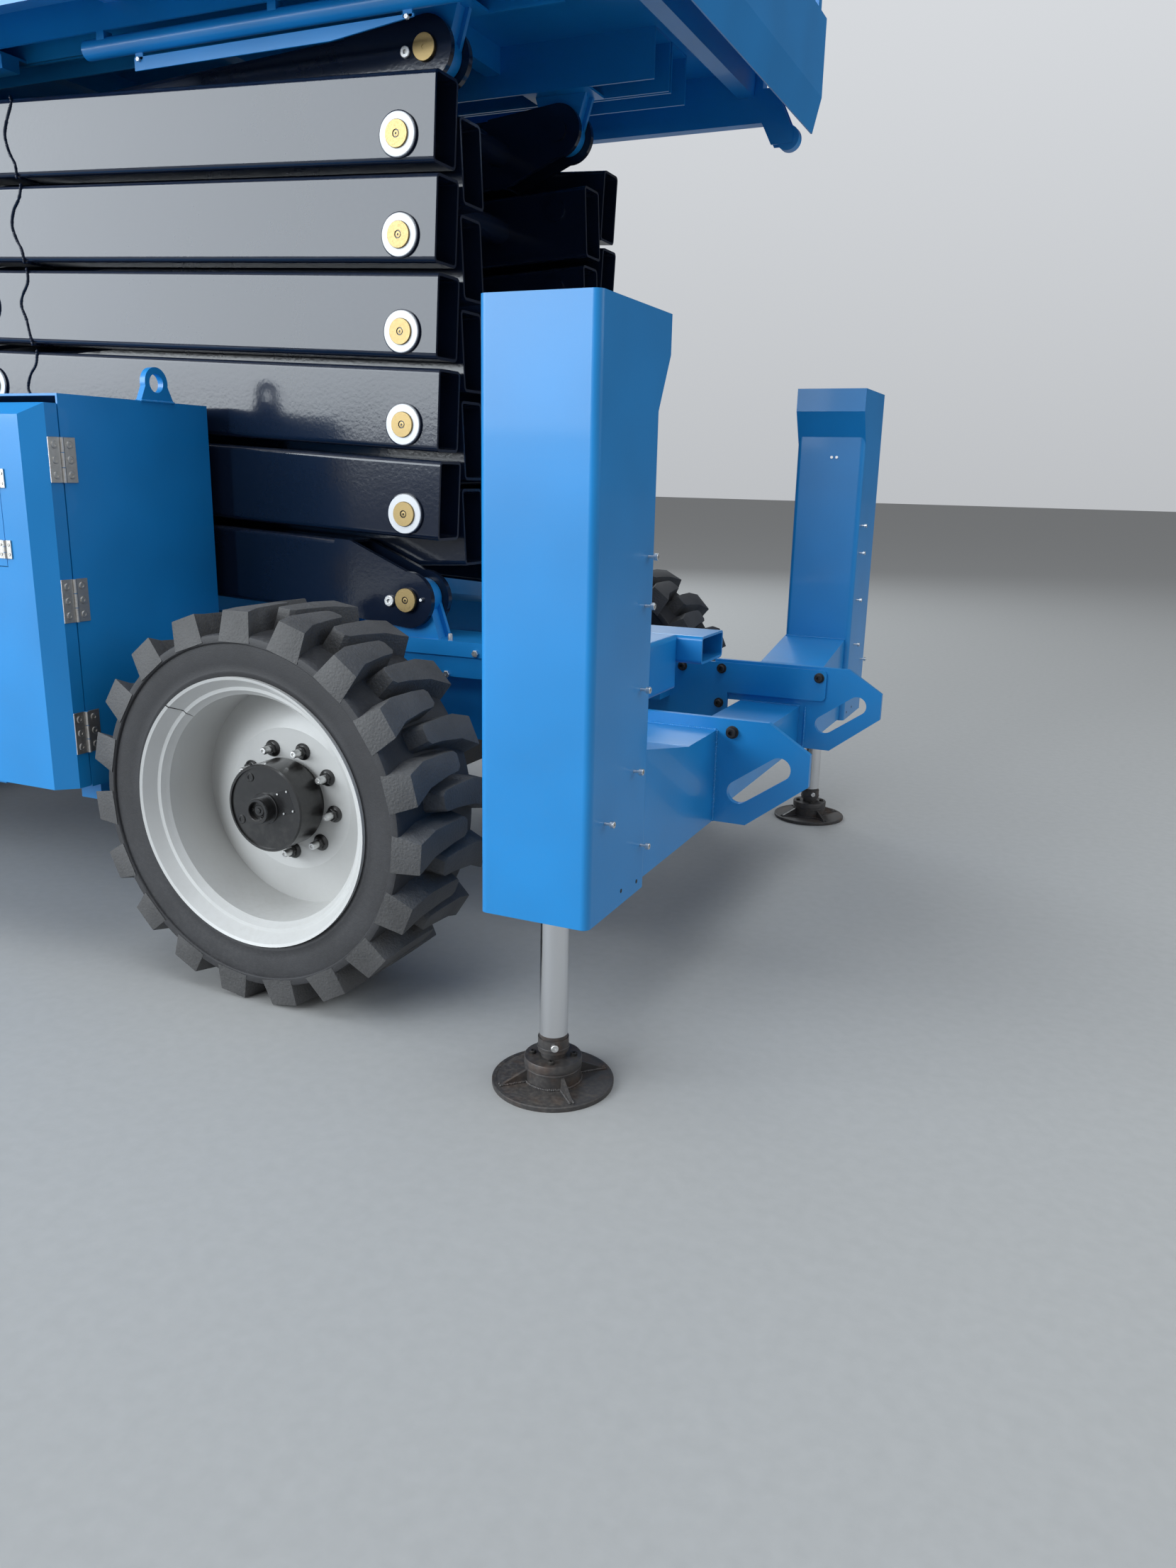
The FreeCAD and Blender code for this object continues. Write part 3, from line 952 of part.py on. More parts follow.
def make_platform():
    half_width = DECK_HALF_WIDTH
    floor_z = DECK_TOP - DECK_SHEET
    pieces = [box(DECK_REAR_X, DECK_FRONT_X, -half_width, half_width, floor_z, DECK_TOP)]
    left = [box(DECK_REAR_X, DECK_FRONT_X, half_width - SIDE_BEAM_WIDTH, half_width,
                floor_z - SIDE_BEAM_HEIGHT, DECK_TOP - 1)]
    left += [deck_channel(y0, y1) for y0, y1 in DECK_CHANNELS]
    left += slide_roller()
    # Rail for the top rollers, and plates that close the channels over the rail and the fixed pins
    plate_top = DECK_BEAM_BOTTOM + CHANNEL_WALL
    (inner_y0, inner_y1), (outer_y0, outer_y1) = DECK_CHANNELS
    foot = BRACKET_FOOT + 30
    left.append(box(RAIL_START_X, RAIL_END_X, OUTER_ARM_MID - RAIL_WIDTH / 2, OUTER_ARM_MID + RAIL_WIDTH / 2,
                    PLATFORM_RAIL_BOTTOM, plate_top))
    left.append(box(RAIL_START_X, RAIL_END_X, outer_y0, outer_y1, DECK_BEAM_BOTTOM, plate_top))
    left.append(box(PIN_REACH - foot, PIN_REACH + foot, inner_y0, inner_y1, DECK_BEAM_BOTTOM, plate_top))
    left.append(pin_bracket(INNER_ARM_MID, TOP_PIN_Z, DECK_BEAM_BOTTOM + 1))
    pieces += left + [mirror_side(piece) for piece in left]
    pitch = (DECK_FRONT_X - DECK_REAR_X - 2 * CROSS_MEMBER_WIDTH) / (CROSS_MEMBERS - 1)
    reach = half_width - SIDE_BEAM_WIDTH + 1
    for index in range(CROSS_MEMBERS):
        x = DECK_REAR_X + CROSS_MEMBER_WIDTH / 2 + pitch * index
        pieces.append(box(x, x + CROSS_MEMBER_WIDTH, -reach, reach,
                          floor_z - CROSS_MEMBER_HEIGHT, DECK_TOP - 1))
    # Tube on hangers below the right-hand outer channel
    tube_z = DECK_BEAM_BOTTOM - SIDE_TUBE_DROP
    x0, x1 = SIDE_TUBE_X
    pieces.append(Part.makeCylinder(SIDE_TUBE_RADIUS, x1 - x0, V(x0, -SIDE_TUBE_Y, tube_z), X_AXIS))
    for x in (x0 + 60, (x0 + x1) / 2, x1 - 90):
        pieces.append(box(x, x + 30, -outer_y1, -SIDE_TUBE_Y + 12, tube_z, DECK_BEAM_BOTTOM + 1))
    save("platform_frame", fuse(pieces))
    t = RAIL_TUBE
    side = side_rail(DECK_REAR_X, DECK_FRONT_X, half_width, DECK_TOP, RAIL_BAYS)
    save("platform_rail_left", side)
    save("platform_rail_right", mirror_side(side))
    gate_side = [box(DECK_REAR_X, DECK_REAR_X + t, GATE_STUB_Y, GATE_STUB_Y + t, DECK_TOP, RAILS_TOP)]
    for z in (RAILS_TOP - t, DECK_TOP + MID_RAIL):
        gate_side.append(box(DECK_REAR_X, DECK_REAR_X + t, GATE_STUB_Y, half_width - t, z, z + t))
    save("platform_rail_rear", both_sides(fuse(gate_side)))


def make_extension():
    half = DECK_HALF_WIDTH - RAIL_TUBE - EXTENSION_GAP
    bottom = DECK_TOP + EXTENSION_LIFT
    top = bottom + EXTENSION_FLOOR
    front, s, t = EXTENSION_FRONT_X, PANEL_SHEET, RAIL_TUBE
    tip, bend = DECK_TOP - PANEL_DROP, DECK_TOP - PANEL_BEND
    panel_top = DECK_TOP + TOE_BOARD
    deck = box(EXTENSION_REAR_X, front, -half, half, bottom, top)
    foot = front - PANEL_RAKE
    outline = [(foot, tip), (foot + s, tip), (front, bend), (front, panel_top), (front - s, panel_top),
               (front - s, bend)]
    panel = prism_y(outline, -DECK_HALF_WIDTH, DECK_HALF_WIDTH)
    runners = [box(EXTENSION_REAR_X, DECK_FRONT_X - 40, y, y + RUNNER_WIDTH, DECK_TOP + SEAT_GAP, bottom + 1)
               for y in RUNNER_PLACES]
    runners += [mirror_side(runner) for runner in runners]
    save("extension_deck", fuse([deck, panel] + runners))
    rail_front = front - s - 3
    side = side_rail(EXTENSION_REAR_X, rail_front, half, top, EXTENSION_BAYS)
    save("extension_rail_left", side)
    save("extension_rail_right", mirror_side(side))
    bars = [box(rail_front - t, rail_front, y - t / 2, y + t / 2, top, RAILS_TOP) for y in (-440, 0, 440)]
    for z in (RAILS_TOP - t, top + MID_RAIL):
        bars.append(box(rail_front - t, rail_front, t - half, half - t, z, z + t))
    save("extension_rail_front", fuse(bars))
    # The control box hangs on the extension's top rail by a hooked plate
    x0, x1 = front - 280, front - 60
    inside = -half + t + SEAT_GAP
    hook = RAILS_TOP + 6
    control = fuse([box(x0, x1, inside + 14, inside + 240, RAILS_TOP - 240, RAILS_TOP - 40),
                    box(x0 + 20, x1 - 20, inside, inside + 15, RAILS_TOP - 280, hook),
                    box(x0 + 20, x1 - 20, -half - 6, inside + 5, RAILS_TOP + SEAT_GAP, hook),
                    box(x0 + 20, x1 - 20, -half - 6, -half - SEAT_GAP, RAILS_TOP - 20, hook)])
    save("control_box", control)


def side_rail(x0, x1, outer_y, base, bays):
    """Guard rail along the left side of a deck: posts, top rail, middle rail and toe board."""
    t = RAIL_TUBE
    y0 = outer_y - t
    pieces = [box(x, x + t, y0, outer_y, base, RAILS_TOP)
              for x in [x0 + (x1 - x0 - t) * index / bays for index in range(bays + 1)]]
    for z in (RAILS_TOP - t, base + MID_RAIL):
        pieces.append(box(x0, x1, y0, outer_y, z, z + t))
    middle = outer_y - t / 2
    pieces.append(box(x0, x1, middle - TOE_SHEET / 2, middle + TOE_SHEET / 2, base, base + TOE_BOARD))
    return fuse(pieces)


def make_gate():
    x, half, t = DECK_REAR_X, GATE_HALF, GATE_TUBE
    low, high = DECK_TOP + 30, RAILS_TOP - 20
    bars = both_sides(box(x, x + t, half - t, half, low, high))
    for z in (low, DECK_TOP + MID_RAIL + 20, high - t):
        bars.append(box(x, x + t, -half, half, z, z + t))
    for z in (low + 150, low + 800):
        bars.append(cyl_z(x + t + 5, half + 5, 4.7, z, z + 60))
        bars.append(box(x + t - 1, x + t + 9, half - 5, half + 5, z, z + 60))
    save("entry_gate", fuse(bars))


def make_ladder():
    x = -(JACK_X + CROSS_BEAM_FRONT)
    depth, width = LADDER_STILE
    top = DECK_TOP - 320
    half = LADDER_HALF_WIDTH
    pieces = both_sides(box(x - 10 - depth, x - 10, half - width, half, LADDER_BOTTOM, top))
    rung = LADDER_BOTTOM + 60
    while rung < top - RUNG_DEPTH:
        pieces.append(box(x - 5 - depth, x - 15, 25 - half, half - 25, rung, rung + RUNG_DEPTH))
        rung += RUNG_PITCH
    for z in (CROSS_BEAM_BOTTOM + 30, CROSS_BEAM_TOP - 40):
        pieces += both_sides(box(x - 12, x, half - width, half, z, z + 20))
    save("ladder", fuse(pieces))


os.makedirs("parts", exist_ok=True)
make_scissor()
make_lift_cylinders()
make_wheels()
make_front_axle()
make_rear_axle()
make_chassis()
make_outriggers()
make_tow_plates()
make_side_boxes()
make_platform()
make_extension()
make_gate()
make_ladder()
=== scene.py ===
import math

import bmesh
import bpy
from mathutils import Matrix, Vector, noise


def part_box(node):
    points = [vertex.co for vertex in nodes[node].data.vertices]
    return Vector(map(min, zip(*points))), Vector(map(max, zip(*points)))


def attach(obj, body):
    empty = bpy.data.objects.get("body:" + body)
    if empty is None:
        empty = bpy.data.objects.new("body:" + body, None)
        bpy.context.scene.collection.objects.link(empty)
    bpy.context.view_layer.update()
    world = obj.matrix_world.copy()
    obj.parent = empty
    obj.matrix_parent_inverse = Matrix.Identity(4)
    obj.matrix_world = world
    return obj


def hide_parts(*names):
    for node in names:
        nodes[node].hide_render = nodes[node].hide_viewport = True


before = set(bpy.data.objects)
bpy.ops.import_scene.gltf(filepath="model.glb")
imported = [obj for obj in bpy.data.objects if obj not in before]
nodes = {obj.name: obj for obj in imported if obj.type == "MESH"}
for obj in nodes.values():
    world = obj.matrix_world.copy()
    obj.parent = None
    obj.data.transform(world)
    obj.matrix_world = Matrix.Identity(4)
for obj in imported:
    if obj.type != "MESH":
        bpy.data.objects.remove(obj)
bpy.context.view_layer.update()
print("frame loaded with", len(nodes), "nodes")

sides = {"right": -1, "left": 1}
ends = {"front": 1, "rear": -1}
levels = sum(name.startswith("outer_arm_") for name in nodes)
trash = []                      # helper objects that the trees read, deleted before the end


# Materials

def newMaterial(name, roughness=0.5, metallic=0.0, coat=0.0, coatRoughness=0.1):
    material = bpy.data.materials.new(name)
    material.use_nodes = True
    shader = material.node_tree.nodes["Principled BSDF"]
    shader.inputs["Roughness"].default_value = roughness
    shader.inputs["Metallic"].default_value = metallic
    shader.inputs["Coat Weight"].default_value = coat
    shader.inputs["Coat Roughness"].default_value = coatRoughness
    return material, material.node_tree, shader


def newGroup(name, inputs, outputs):
    group = bpy.data.node_groups.new(name, "ShaderNodeTree")
    for label, kind, value in inputs:
        socket = group.interface.new_socket(name=label, in_out="INPUT", socket_type=kind)
        socket.default_value = value
    for label, kind in outputs:
        group.interface.new_socket(name=label, in_out="OUTPUT", socket_type=kind)
    source = group.nodes.new("NodeGroupInput")
    target = group.nodes.new("NodeGroupOutput")
    return group, source.outputs, target.inputs


def place(tree, kind, settings=None, **values):
    node = tree.nodes.new(kind)
    for key, value in (settings or {}).items():
        setattr(node, key, value)
    for key, value in values.items():
        node.inputs[key.replace("_", " ")].default_value = value
    return node


def math2(tree, operation, a, b):
    node = tree.nodes.new("ShaderNodeMath")
    node.operation = operation
    for socket, value in zip(node.inputs, (a, b)):
        if isinstance(value, (int, float)):
            socket.default_value = value
        else:
            tree.links.new(value, socket)
    return node.outputs[0]


def mixColour(tree, factor, a, b, blend="MIX"):
    node = tree.nodes.new("ShaderNodeMix")
    node.data_type = "RGBA"
    node.blend_type = blend
    for socket, value in zip((node.inputs[0], node.inputs[6], node.inputs[7]), (factor, a, b)):
        if isinstance(value, (int, float, tuple, list)):
            socket.default_value = value
        else:
            tree.links.new(value, socket)
    return node.outputs[2]


def noiseAt(tree, scale, detail=3.0, stretch=(1, 1, 1), roughness=0.5):
    coordinates = tree.nodes.new("ShaderNodeTexCoord")
    mapping = tree.nodes.new("ShaderNodeMapping")
    mapping.inputs["Scale"].default_value = stretch
    texture = place(tree, "ShaderNodeTexNoise", Detail=detail, Roughness=roughness)
    tree.links.new(coordinates.outputs["Object"], mapping.inputs["Vector"])
    tree.links.new(mapping.outputs["Vector"], texture.inputs["Vector"])
    if isinstance(scale, (int, float)):
        texture.inputs["Scale"].default_value = scale
    else:
        tree.links.new(scale, texture.inputs["Scale"])
    return texture.outputs["Fac"]


def rangeOf(tree, value, low, high, toLow=0.0, toHigh=1.0):
    node = place(tree, "ShaderNodeMapRange")
    node.inputs["From Min"].default_value = low
    node.inputs["From Max"].default_value = high
    node.inputs["To Min"].default_value = toLow
    node.inputs["To Max"].default_value = toHigh
    tree.links.new(value, node.inputs["Value"])
    return node.outputs["Result"]


def objectPart(tree, output, axis):
    coordinates = tree.nodes.new("ShaderNodeTexCoord")
    split = tree.nodes.new("ShaderNodeSeparateXYZ")
    tree.links.new(coordinates.outputs[output], split.inputs[0])
    return split.outputs[axis]


def dustGroup():
    group, given, out = newGroup(
        "yardDust",
        [("Colour", "NodeSocketColor", (0.5, 0.5, 0.5, 1)), ("Dust Colour", "NodeSocketColor", (0.3, 0.28, 0.25, 1)),
         ("Amount", "NodeSocketFloat", 0.3), ("Grain", "NodeSocketFloat", 40.0), ("Gloss", "NodeSocketFloat", 0.3)],
        [("Colour", "NodeSocketColor"), ("Roughness", "NodeSocketFloat"), ("Mask", "NodeSocketFloat")])
    upward = rangeOf(group, objectPart(group, "Normal", "Z"), 0.1, 1.0, 0.12, 1.0)
    lowDown = rangeOf(group, objectPart(group, "Object", "Z"), 0.0, 1.3, 0.65, 0.0)
    fine = rangeOf(group, noiseAt(group, given["Grain"], 6.0), 0.42, 0.75)
    broad = rangeOf(group, noiseAt(group, 2.3, 3.0), 0.35, 0.7, 0.25, 1.0)
    where = math2(group, "MAXIMUM", upward, lowDown)
    mask = math2(group, "MULTIPLY", math2(group, "MULTIPLY", where, broad), math2(group, "ADD", fine, 0.35))
    mask = math2(group, "MINIMUM", math2(group, "MULTIPLY", mask, given["Amount"]), 1.0)
    group.links.new(mixColour(group, mask, given["Colour"], given["Dust Colour"]), out["Colour"])
    rough = math2(group, "ADD", given["Gloss"], math2(group, "MULTIPLY", mask, 0.55))
    group.links.new(math2(group, "MINIMUM", rough, 1.0), out["Roughness"])
    group.links.new(mask, out["Mask"])
    return group


def peelGroup():
    group, given, out = newGroup(
        "enamelPeel",
        [("Peel Size", "NodeSocketFloat", 90.0), ("Waviness", "NodeSocketFloat", 4.0)],
        [("Height", "NodeSocketFloat"), ("Shade", "NodeSocketFloat")])
    peel = noiseAt(group, given["Peel Size"], 1.5)
    waves = noiseAt(group, given["Waviness"], 1.0)
    height = math2(group, "ADD", math2(group, "MULTIPLY", peel, 0.25), waves)
    group.links.new(height, out["Height"])
    group.links.new(rangeOf(group, waves, 0.3, 0.7, 0.93, 1.05), out["Shade"])
    return group


dust = dustGroup()
peel = peelGroup()


def addDust(tree, colour, dustColour, amount, grain, gloss):
    node = tree.nodes.new("ShaderNodeGroup")
    node.node_tree = dust
    node.inputs["Dust Colour"].default_value = dustColour
    node.inputs["Amount"].default_value = amount
    node.inputs["Grain"].default_value = grain
    node.inputs["Gloss"].default_value = gloss
    if isinstance(colour, tuple):
        node.inputs["Colour"].default_value = colour
    else:
        tree.links.new(colour, node.inputs["Colour"])
    return node


def bumpFrom(tree, shader, height, strength, distance):
    bump = place(tree, "ShaderNodeBump", Strength=strength, Distance=distance)
    tree.links.new(height, bump.inputs["Height"])
    tree.links.new(bump.outputs["Normal"], shader.inputs["Normal"])


def enamel(name, colour, gloss, dustAmount, coat, waves=0.0012, dustColour=(0.36, 0.33, 0.29, 1)):
    material, tree, shader = newMaterial(name, gloss, 0.0, coat, 0.06)
    film = tree.nodes.new("ShaderNodeGroup")
    film.node_tree = peel
    shaded = tree.nodes.new("ShaderNodeMix")
    shaded.data_type = "RGBA"
    shaded.blend_type = "MULTIPLY"
    shaded.inputs[0].default_value = 1.0
    shaded.inputs[6].default_value = colour
    tree.links.new(film.outputs["Shade"], shaded.inputs[7])
    node = addDust(tree, shaded.outputs[2], dustColour, dustAmount, 60.0, gloss)
    tree.links.new(node.outputs["Colour"], shader.inputs["Base Color"])
    tree.links.new(node.outputs["Roughness"], shader.inputs["Roughness"])
    bumpFrom(tree, shader, film.outputs["Height"], 0.35, waves)
    return material


def bluePaint():
    return enamel("bluePaint", (0.005, 0.235, 0.605, 1), 0.36, 0.05, 0.15)


def armPaint():
    return enamel("armPaint", (0.006, 0.012, 0.029, 1), 0.14, 0.06, 0.0, 0.0022)


def rimPaint():
    return enamel("rimPaint", (0.58, 0.58, 0.57, 1), 0.38, 0.20, 0.15)


def hubPaint():
    return enamel("hubPaint", (0.009, 0.009, 0.010, 1), 0.28, 0.18, 0.4)


def rubber(name, colour, dustAmount, grainSize=260.0, grainDepth=0.0012):
    material, tree, shader = newMaterial(name, 0.75)
    grain = noiseAt(tree, grainSize, 4.0)
    patches = rangeOf(tree, noiseAt(tree, 9.0, 4.0), 0.3, 0.7, 0.8, 1.2)
    base = mixColour(tree, 1.0, colour, patches, "MULTIPLY")
    node = addDust(tree, base, (0.155, 0.152, 0.152, 1), dustAmount, 110.0, 0.62)
    tree.links.new(node.outputs["Colour"], shader.inputs["Base Color"])
    tree.links.new(node.outputs["Roughness"], shader.inputs["Roughness"])
    bumpFrom(tree, shader, grain, 0.5, grainDepth)
    return material


def darkSteel(name, colour, rust):
    material, tree, shader = newMaterial(name, 0.45, 0.35)
    blotches = rangeOf(tree, noiseAt(tree, 22.0, 6.0), 0.52, 0.72)
    mask = math2(tree, "MULTIPLY", blotches, rust)
    base = mixColour(tree, mask, colour, (0.10, 0.045, 0.02, 1))
    node = addDust(tree, base, (0.25, 0.22, 0.19, 1), 0.35, 90.0, 0.42)
    tree.links.new(node.outputs["Colour"], shader.inputs["Base Color"])
    tree.links.new(node.outputs["Roughness"], shader.inputs["Roughness"])
    bumpFrom(tree, shader, noiseAt(tree, 140.0, 5.0), 0.4, 0.0008)
    return material


def jackLeg(footTop=0.1335):
    material, tree, shader = newMaterial("jackLeg", 0.3)
    above = rangeOf(tree, objectPart(tree, "Object", "Z"), footTop, footTop + 0.0005)
    blotches = rangeOf(tree, noiseAt(tree, 22.0, 6.0), 0.50, 0.74, 0.0, 0.6)
    steel = mixColour(tree, blotches, (0.050, 0.048, 0.050, 1), (0.11, 0.06, 0.035, 1))
    node = addDust(tree, steel, (0.25, 0.22, 0.19, 1), 0.45, 90.0, 0.42)
    tree.links.new(mixColour(tree, above, node.outputs["Colour"], (0.74, 0.74, 0.75, 1)), shader.inputs["Base Color"])
    tree.links.new(rangeOf(tree, above, 0, 1, 0.3, 1.0), shader.inputs["Metallic"])
    film = math2(tree, "MULTIPLY", math2(tree, "SUBTRACT", 1.0, above), node.outputs["Roughness"])
    tree.links.new(math2(tree, "ADD", film, math2(tree, "MULTIPLY", above, 0.12)), shader.inputs["Roughness"])
    bumpFrom(tree, shader, noiseAt(tree, 140.0, 5.0), 0.15, 0.0006)
    return material


def brightMetal(name, colour, roughness, streak=(1, 1, 1), grain=220.0):
    material, tree, shader = newMaterial(name, roughness, 1.0)
    lines = noiseAt(tree, grain, 3.0, streak)
    shade = rangeOf(tree, lines, 0.3, 0.7, 0.88, 1.08)
    tree.links.new(mixColour(tree, 1.0, colour, shade, "MULTIPLY"), shader.inputs["Base Color"])
    tree.links.new(rangeOf(tree, lines, 0.3, 0.7, roughness * 0.8, roughness * 1.3), shader.inputs["Roughness"])
    bumpFrom(tree, shader, lines, 0.15, 0.0002)
    return material


def moulded(name, colour, roughness):
    material, tree, shader = newMaterial(name, roughness)
    node = addDust(tree, colour, (0.3, 0.28, 0.25, 1), 0.15, 70.0, roughness)
    tree.links.new(node.outputs["Colour"], shader.inputs["Base Color"])
    tree.links.new(node.outputs["Roughness"], shader.inputs["Roughness"])
    bumpFrom(tree, shader, noiseAt(tree, 900.0, 2.0), 0.25, 0.0003)
    return material


blue = bluePaint()
armBlack = armPaint()
rimGrey = rimPaint()
hubBlack = hubPaint()
tyreRubber = rubber("tyreRubber", (0.024, 0.024, 0.027, 1), 0.30)
treadRubber = rubber("treadRubber", (0.070, 0.069, 0.070, 1), 0.50, 150.0, 0.005)
footSteel = darkSteel("footSteel", (0.050, 0.048, 0.050, 1), 0.4)
axleSteel = darkSteel("axleSteel", (0.022, 0.022, 0.024, 1), 0.15)
footAndRod = jackLeg()
chrome = brightMetal("chrome", (0.74, 0.74, 0.75, 1), 0.12, (1, 1, 8))
zinc = brightMetal("zinc", (0.72, 0.72, 0.71, 1), 0.36)
stainless = brightMetal("stainless", (0.62, 0.60, 0.57, 1), 0.36, (1, 1, 12), 90.0)
brass = brightMetal("brass", (0.32, 0.235, 0.110, 1), 0.42, (30, 1, 30), 8.0)
blackBolt = darkSteel("blackBolt", (0.012, 0.012, 0.013, 1), 0.0)
washerPaint = enamel("washerPaint", (0.86, 0.87, 0.88, 1), 0.45, 0.05, 0.1)
weldMetal = brightMetal("weldMetal", (0.30, 0.28, 0.26, 1), 0.4)
greyPlastic = moulded("greyPlastic", (0.06, 0.06, 0.062, 1), 0.5)
blankPlate = moulded("blankPlate", (0.012, 0.012, 0.013, 1), 0.22)
print("materials ready:", len(bpy.data.materials))


def paintNodes():
    table = (("outer_arm", armBlack), ("inner_arm", armBlack), ("rod_lugs", armBlack), ("tyre", tyreRubber),
             ("rim", rimGrey),
             ("hub", hubBlack), ("jack_leg", footAndRod), ("lift_rods", chrome), ("steering_rod", chrome),
             ("jack_cylinders", axleSteel), ("lift_barrels", axleSteel), ("engine_block", axleSteel),
             ("front_axle", axleSteel), ("rear_axle", axleSteel), ("knuckle", axleSteel))
    for name, piece in nodes.items():
        found = [material for start, material in table if name.startswith(start)]
        piece.data.materials.clear()
        piece.data.materials.append(found[0] if found else blue)


paintNodes()


# Mesh helpers: every piece is built in place, so its object stays at the origin

def makePiece(name, bm, body, materials, smooth=35):
    mesh = bm
    if isinstance(bm, bmesh.types.BMesh):
        mesh = bpy.data.meshes.new(name)
        bmesh.ops.recalc_face_normals(bm, faces=bm.faces)
        bm.to_mesh(mesh)
        bm.free()
    else:
        mesh.materials.clear()      # a grown mesh brings its own
    mesh.name = name
    for material in materials:
        mesh.materials.append(material)
    mesh.shade_smooth()
    mesh.set_sharp_from_angle(angle=math.radians(smooth))
    piece = bpy.data.objects.new(name, mesh)
    bpy.context.scene.collection.objects.link(piece)
    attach(piece, body)
    return piece


def addPart(bm, part, finish=0):
    for face in part.faces:
        face.material_index = finish
    carrier = bpy.data.meshes.new("carrier")
    bmesh.ops.recalc_face_normals(part, faces=part.faces)
    part.to_mesh(carrier)
    part.free()
    bm.from_mesh(carrier)
    bpy.data.meshes.remove(carrier)


def turned(profile, origin, axis, segments=48, closed=False):
    part = bmesh.new()
    axis = Vector(axis).normalized()
    across = axis.orthogonal().normalized()
    other = axis.cross(across)
    rings = []
    for radius, along in profile:
        centre = Vector(origin) + axis * along
        if radius < 1e-6:
            rings.append([part.verts.new(centre)])
            continue
        rings.append([part.verts.new(centre + radius * (math.cos(angle) * across + math.sin(angle) * other))
                      for angle in (2 * math.pi * index / segments for index in range(segments))])
    pairs = list(zip(rings, rings[1:])) + ([(rings[-1], rings[0])] if closed else [])
    for first, second in pairs:
        for index in range(segments):
            after = (index + 1) % segments
            corners = [first[index % len(first)], first[after % len(first)],
                       second[after % len(second)], second[index % len(second)]]
            part.faces.new(list(dict.fromkeys(corners)))
    return part


def slab(outline, origin, along, up, thickness, bevel=0.0, segments=2):
    part = bmesh.new()
    along, up = Vector(along).normalized(), Vector(up).normalized()
    out = along.cross(up)
    rings = [[part.verts.new(Vector(origin) + a * along + b * up + level * out) for a, b in outline]
             for level in (0.0, thickness)]
    part.faces.new(rings[0])
    part.faces.new(rings[1])
    for index in range(len(outline)):
        after = (index + 1) % len(outline)
        part.faces.new((rings[0][index], rings[0][after], rings[1][after], rings[1][index]))
    if bevel:
        bmesh.ops.recalc_face_normals(part, faces=part.faces)
        bmesh.ops.bevel(part, geom=list(part.edges), offset=bevel, segments=segments, affect="EDGES", profile=0.6)
    return part


def rectangle(width, height):
    return [(-width / 2, -height / 2), (width / 2, -height / 2), (width / 2, height / 2), (-width / 2, height / 2)]


def roundedOutline(width, height, corner, steps=4):
    points = []
    for sx, sy, start in ((1, 1, 0), (-1, 1, 90), (-1, -1, 180), (1, -1, 270)):
        for index in range(steps + 1):
            angle = math.radians(start + 90 * index / steps)
            points.append((sx * (width / 2 - corner) + corner * math.cos(angle),
                           sy * (height / 2 - corner) + corner * math.sin(angle)))
    return points


def tube(points, radius, sides=12):
    part = bmesh.new()
    points = [Vector(point) for point in points]
    rings = []
    for index, point in enumerate(points):
        before, after = points[max(index - 1, 0)], points[min(index + 1, len(points) - 1)]
        direction = (after - before).normalized()
        across = direction.cross(Vector((0.03, 0.05, 1))).normalized()
        other = direction.cross(across)
        rings.append([part.verts.new(point + radius * (math.cos(angle) * across + math.sin(angle) * other))
                      for angle in (2 * math.pi * step / sides for step in range(sides))])
    for first, second in zip(rings, rings[1:]):
        for index in range(sides):
            after = (index + 1) % sides
            part.faces.new((first[index], first[after], second[after], second[index]))
    part.faces.new(rings[0])
    part.faces.new(rings[-1])
    return part


# Geometry Nodes trees, each run on a carrier mesh and kept as a plain mesh

def newTree(name, inputs):
    tree = bpy.data.node_groups.new(name, "GeometryNodeTree")
    tree.interface.new_socket(name="Geometry", in_out="INPUT", socket_type="NodeSocketGeometry")
    for label, kind, value in inputs:
        socket = tree.interface.new_socket(name=label, in_out="INPUT", socket_type=kind)
        if value is not None:
            socket.default_value = value
    tree.interface.new_socket(name="Geometry", in_out="OUTPUT", socket_type="NodeSocketGeometry")
    source = tree.nodes.new("NodeGroupInput")
    target = tree.nodes.new("NodeGroupOutput")
    return tree, source.outputs, target.inputs["Geometry"]


def step(tree, kind, settings=None, **values):
    node = tree.nodes.new(kind)
    for key, value in (settings or {}).items():
        setattr(node, key, value)
    for key, value in values.items():
        socket = node.inputs[key.replace("_", " ")]
        if isinstance(value, bpy.types.NodeSocket):
            tree.links.new(value, socket)
        else:
            socket.default_value = value
    return node


def endTree(tree, instances, paint, out):
    real = step(tree, "GeometryNodeRealizeInstances", Geometry=instances)
    painted = step(tree, "GeometryNodeSetMaterial", Geometry=real.outputs[0], Material=paint)
    tree.links.new(painted.outputs[0], out)


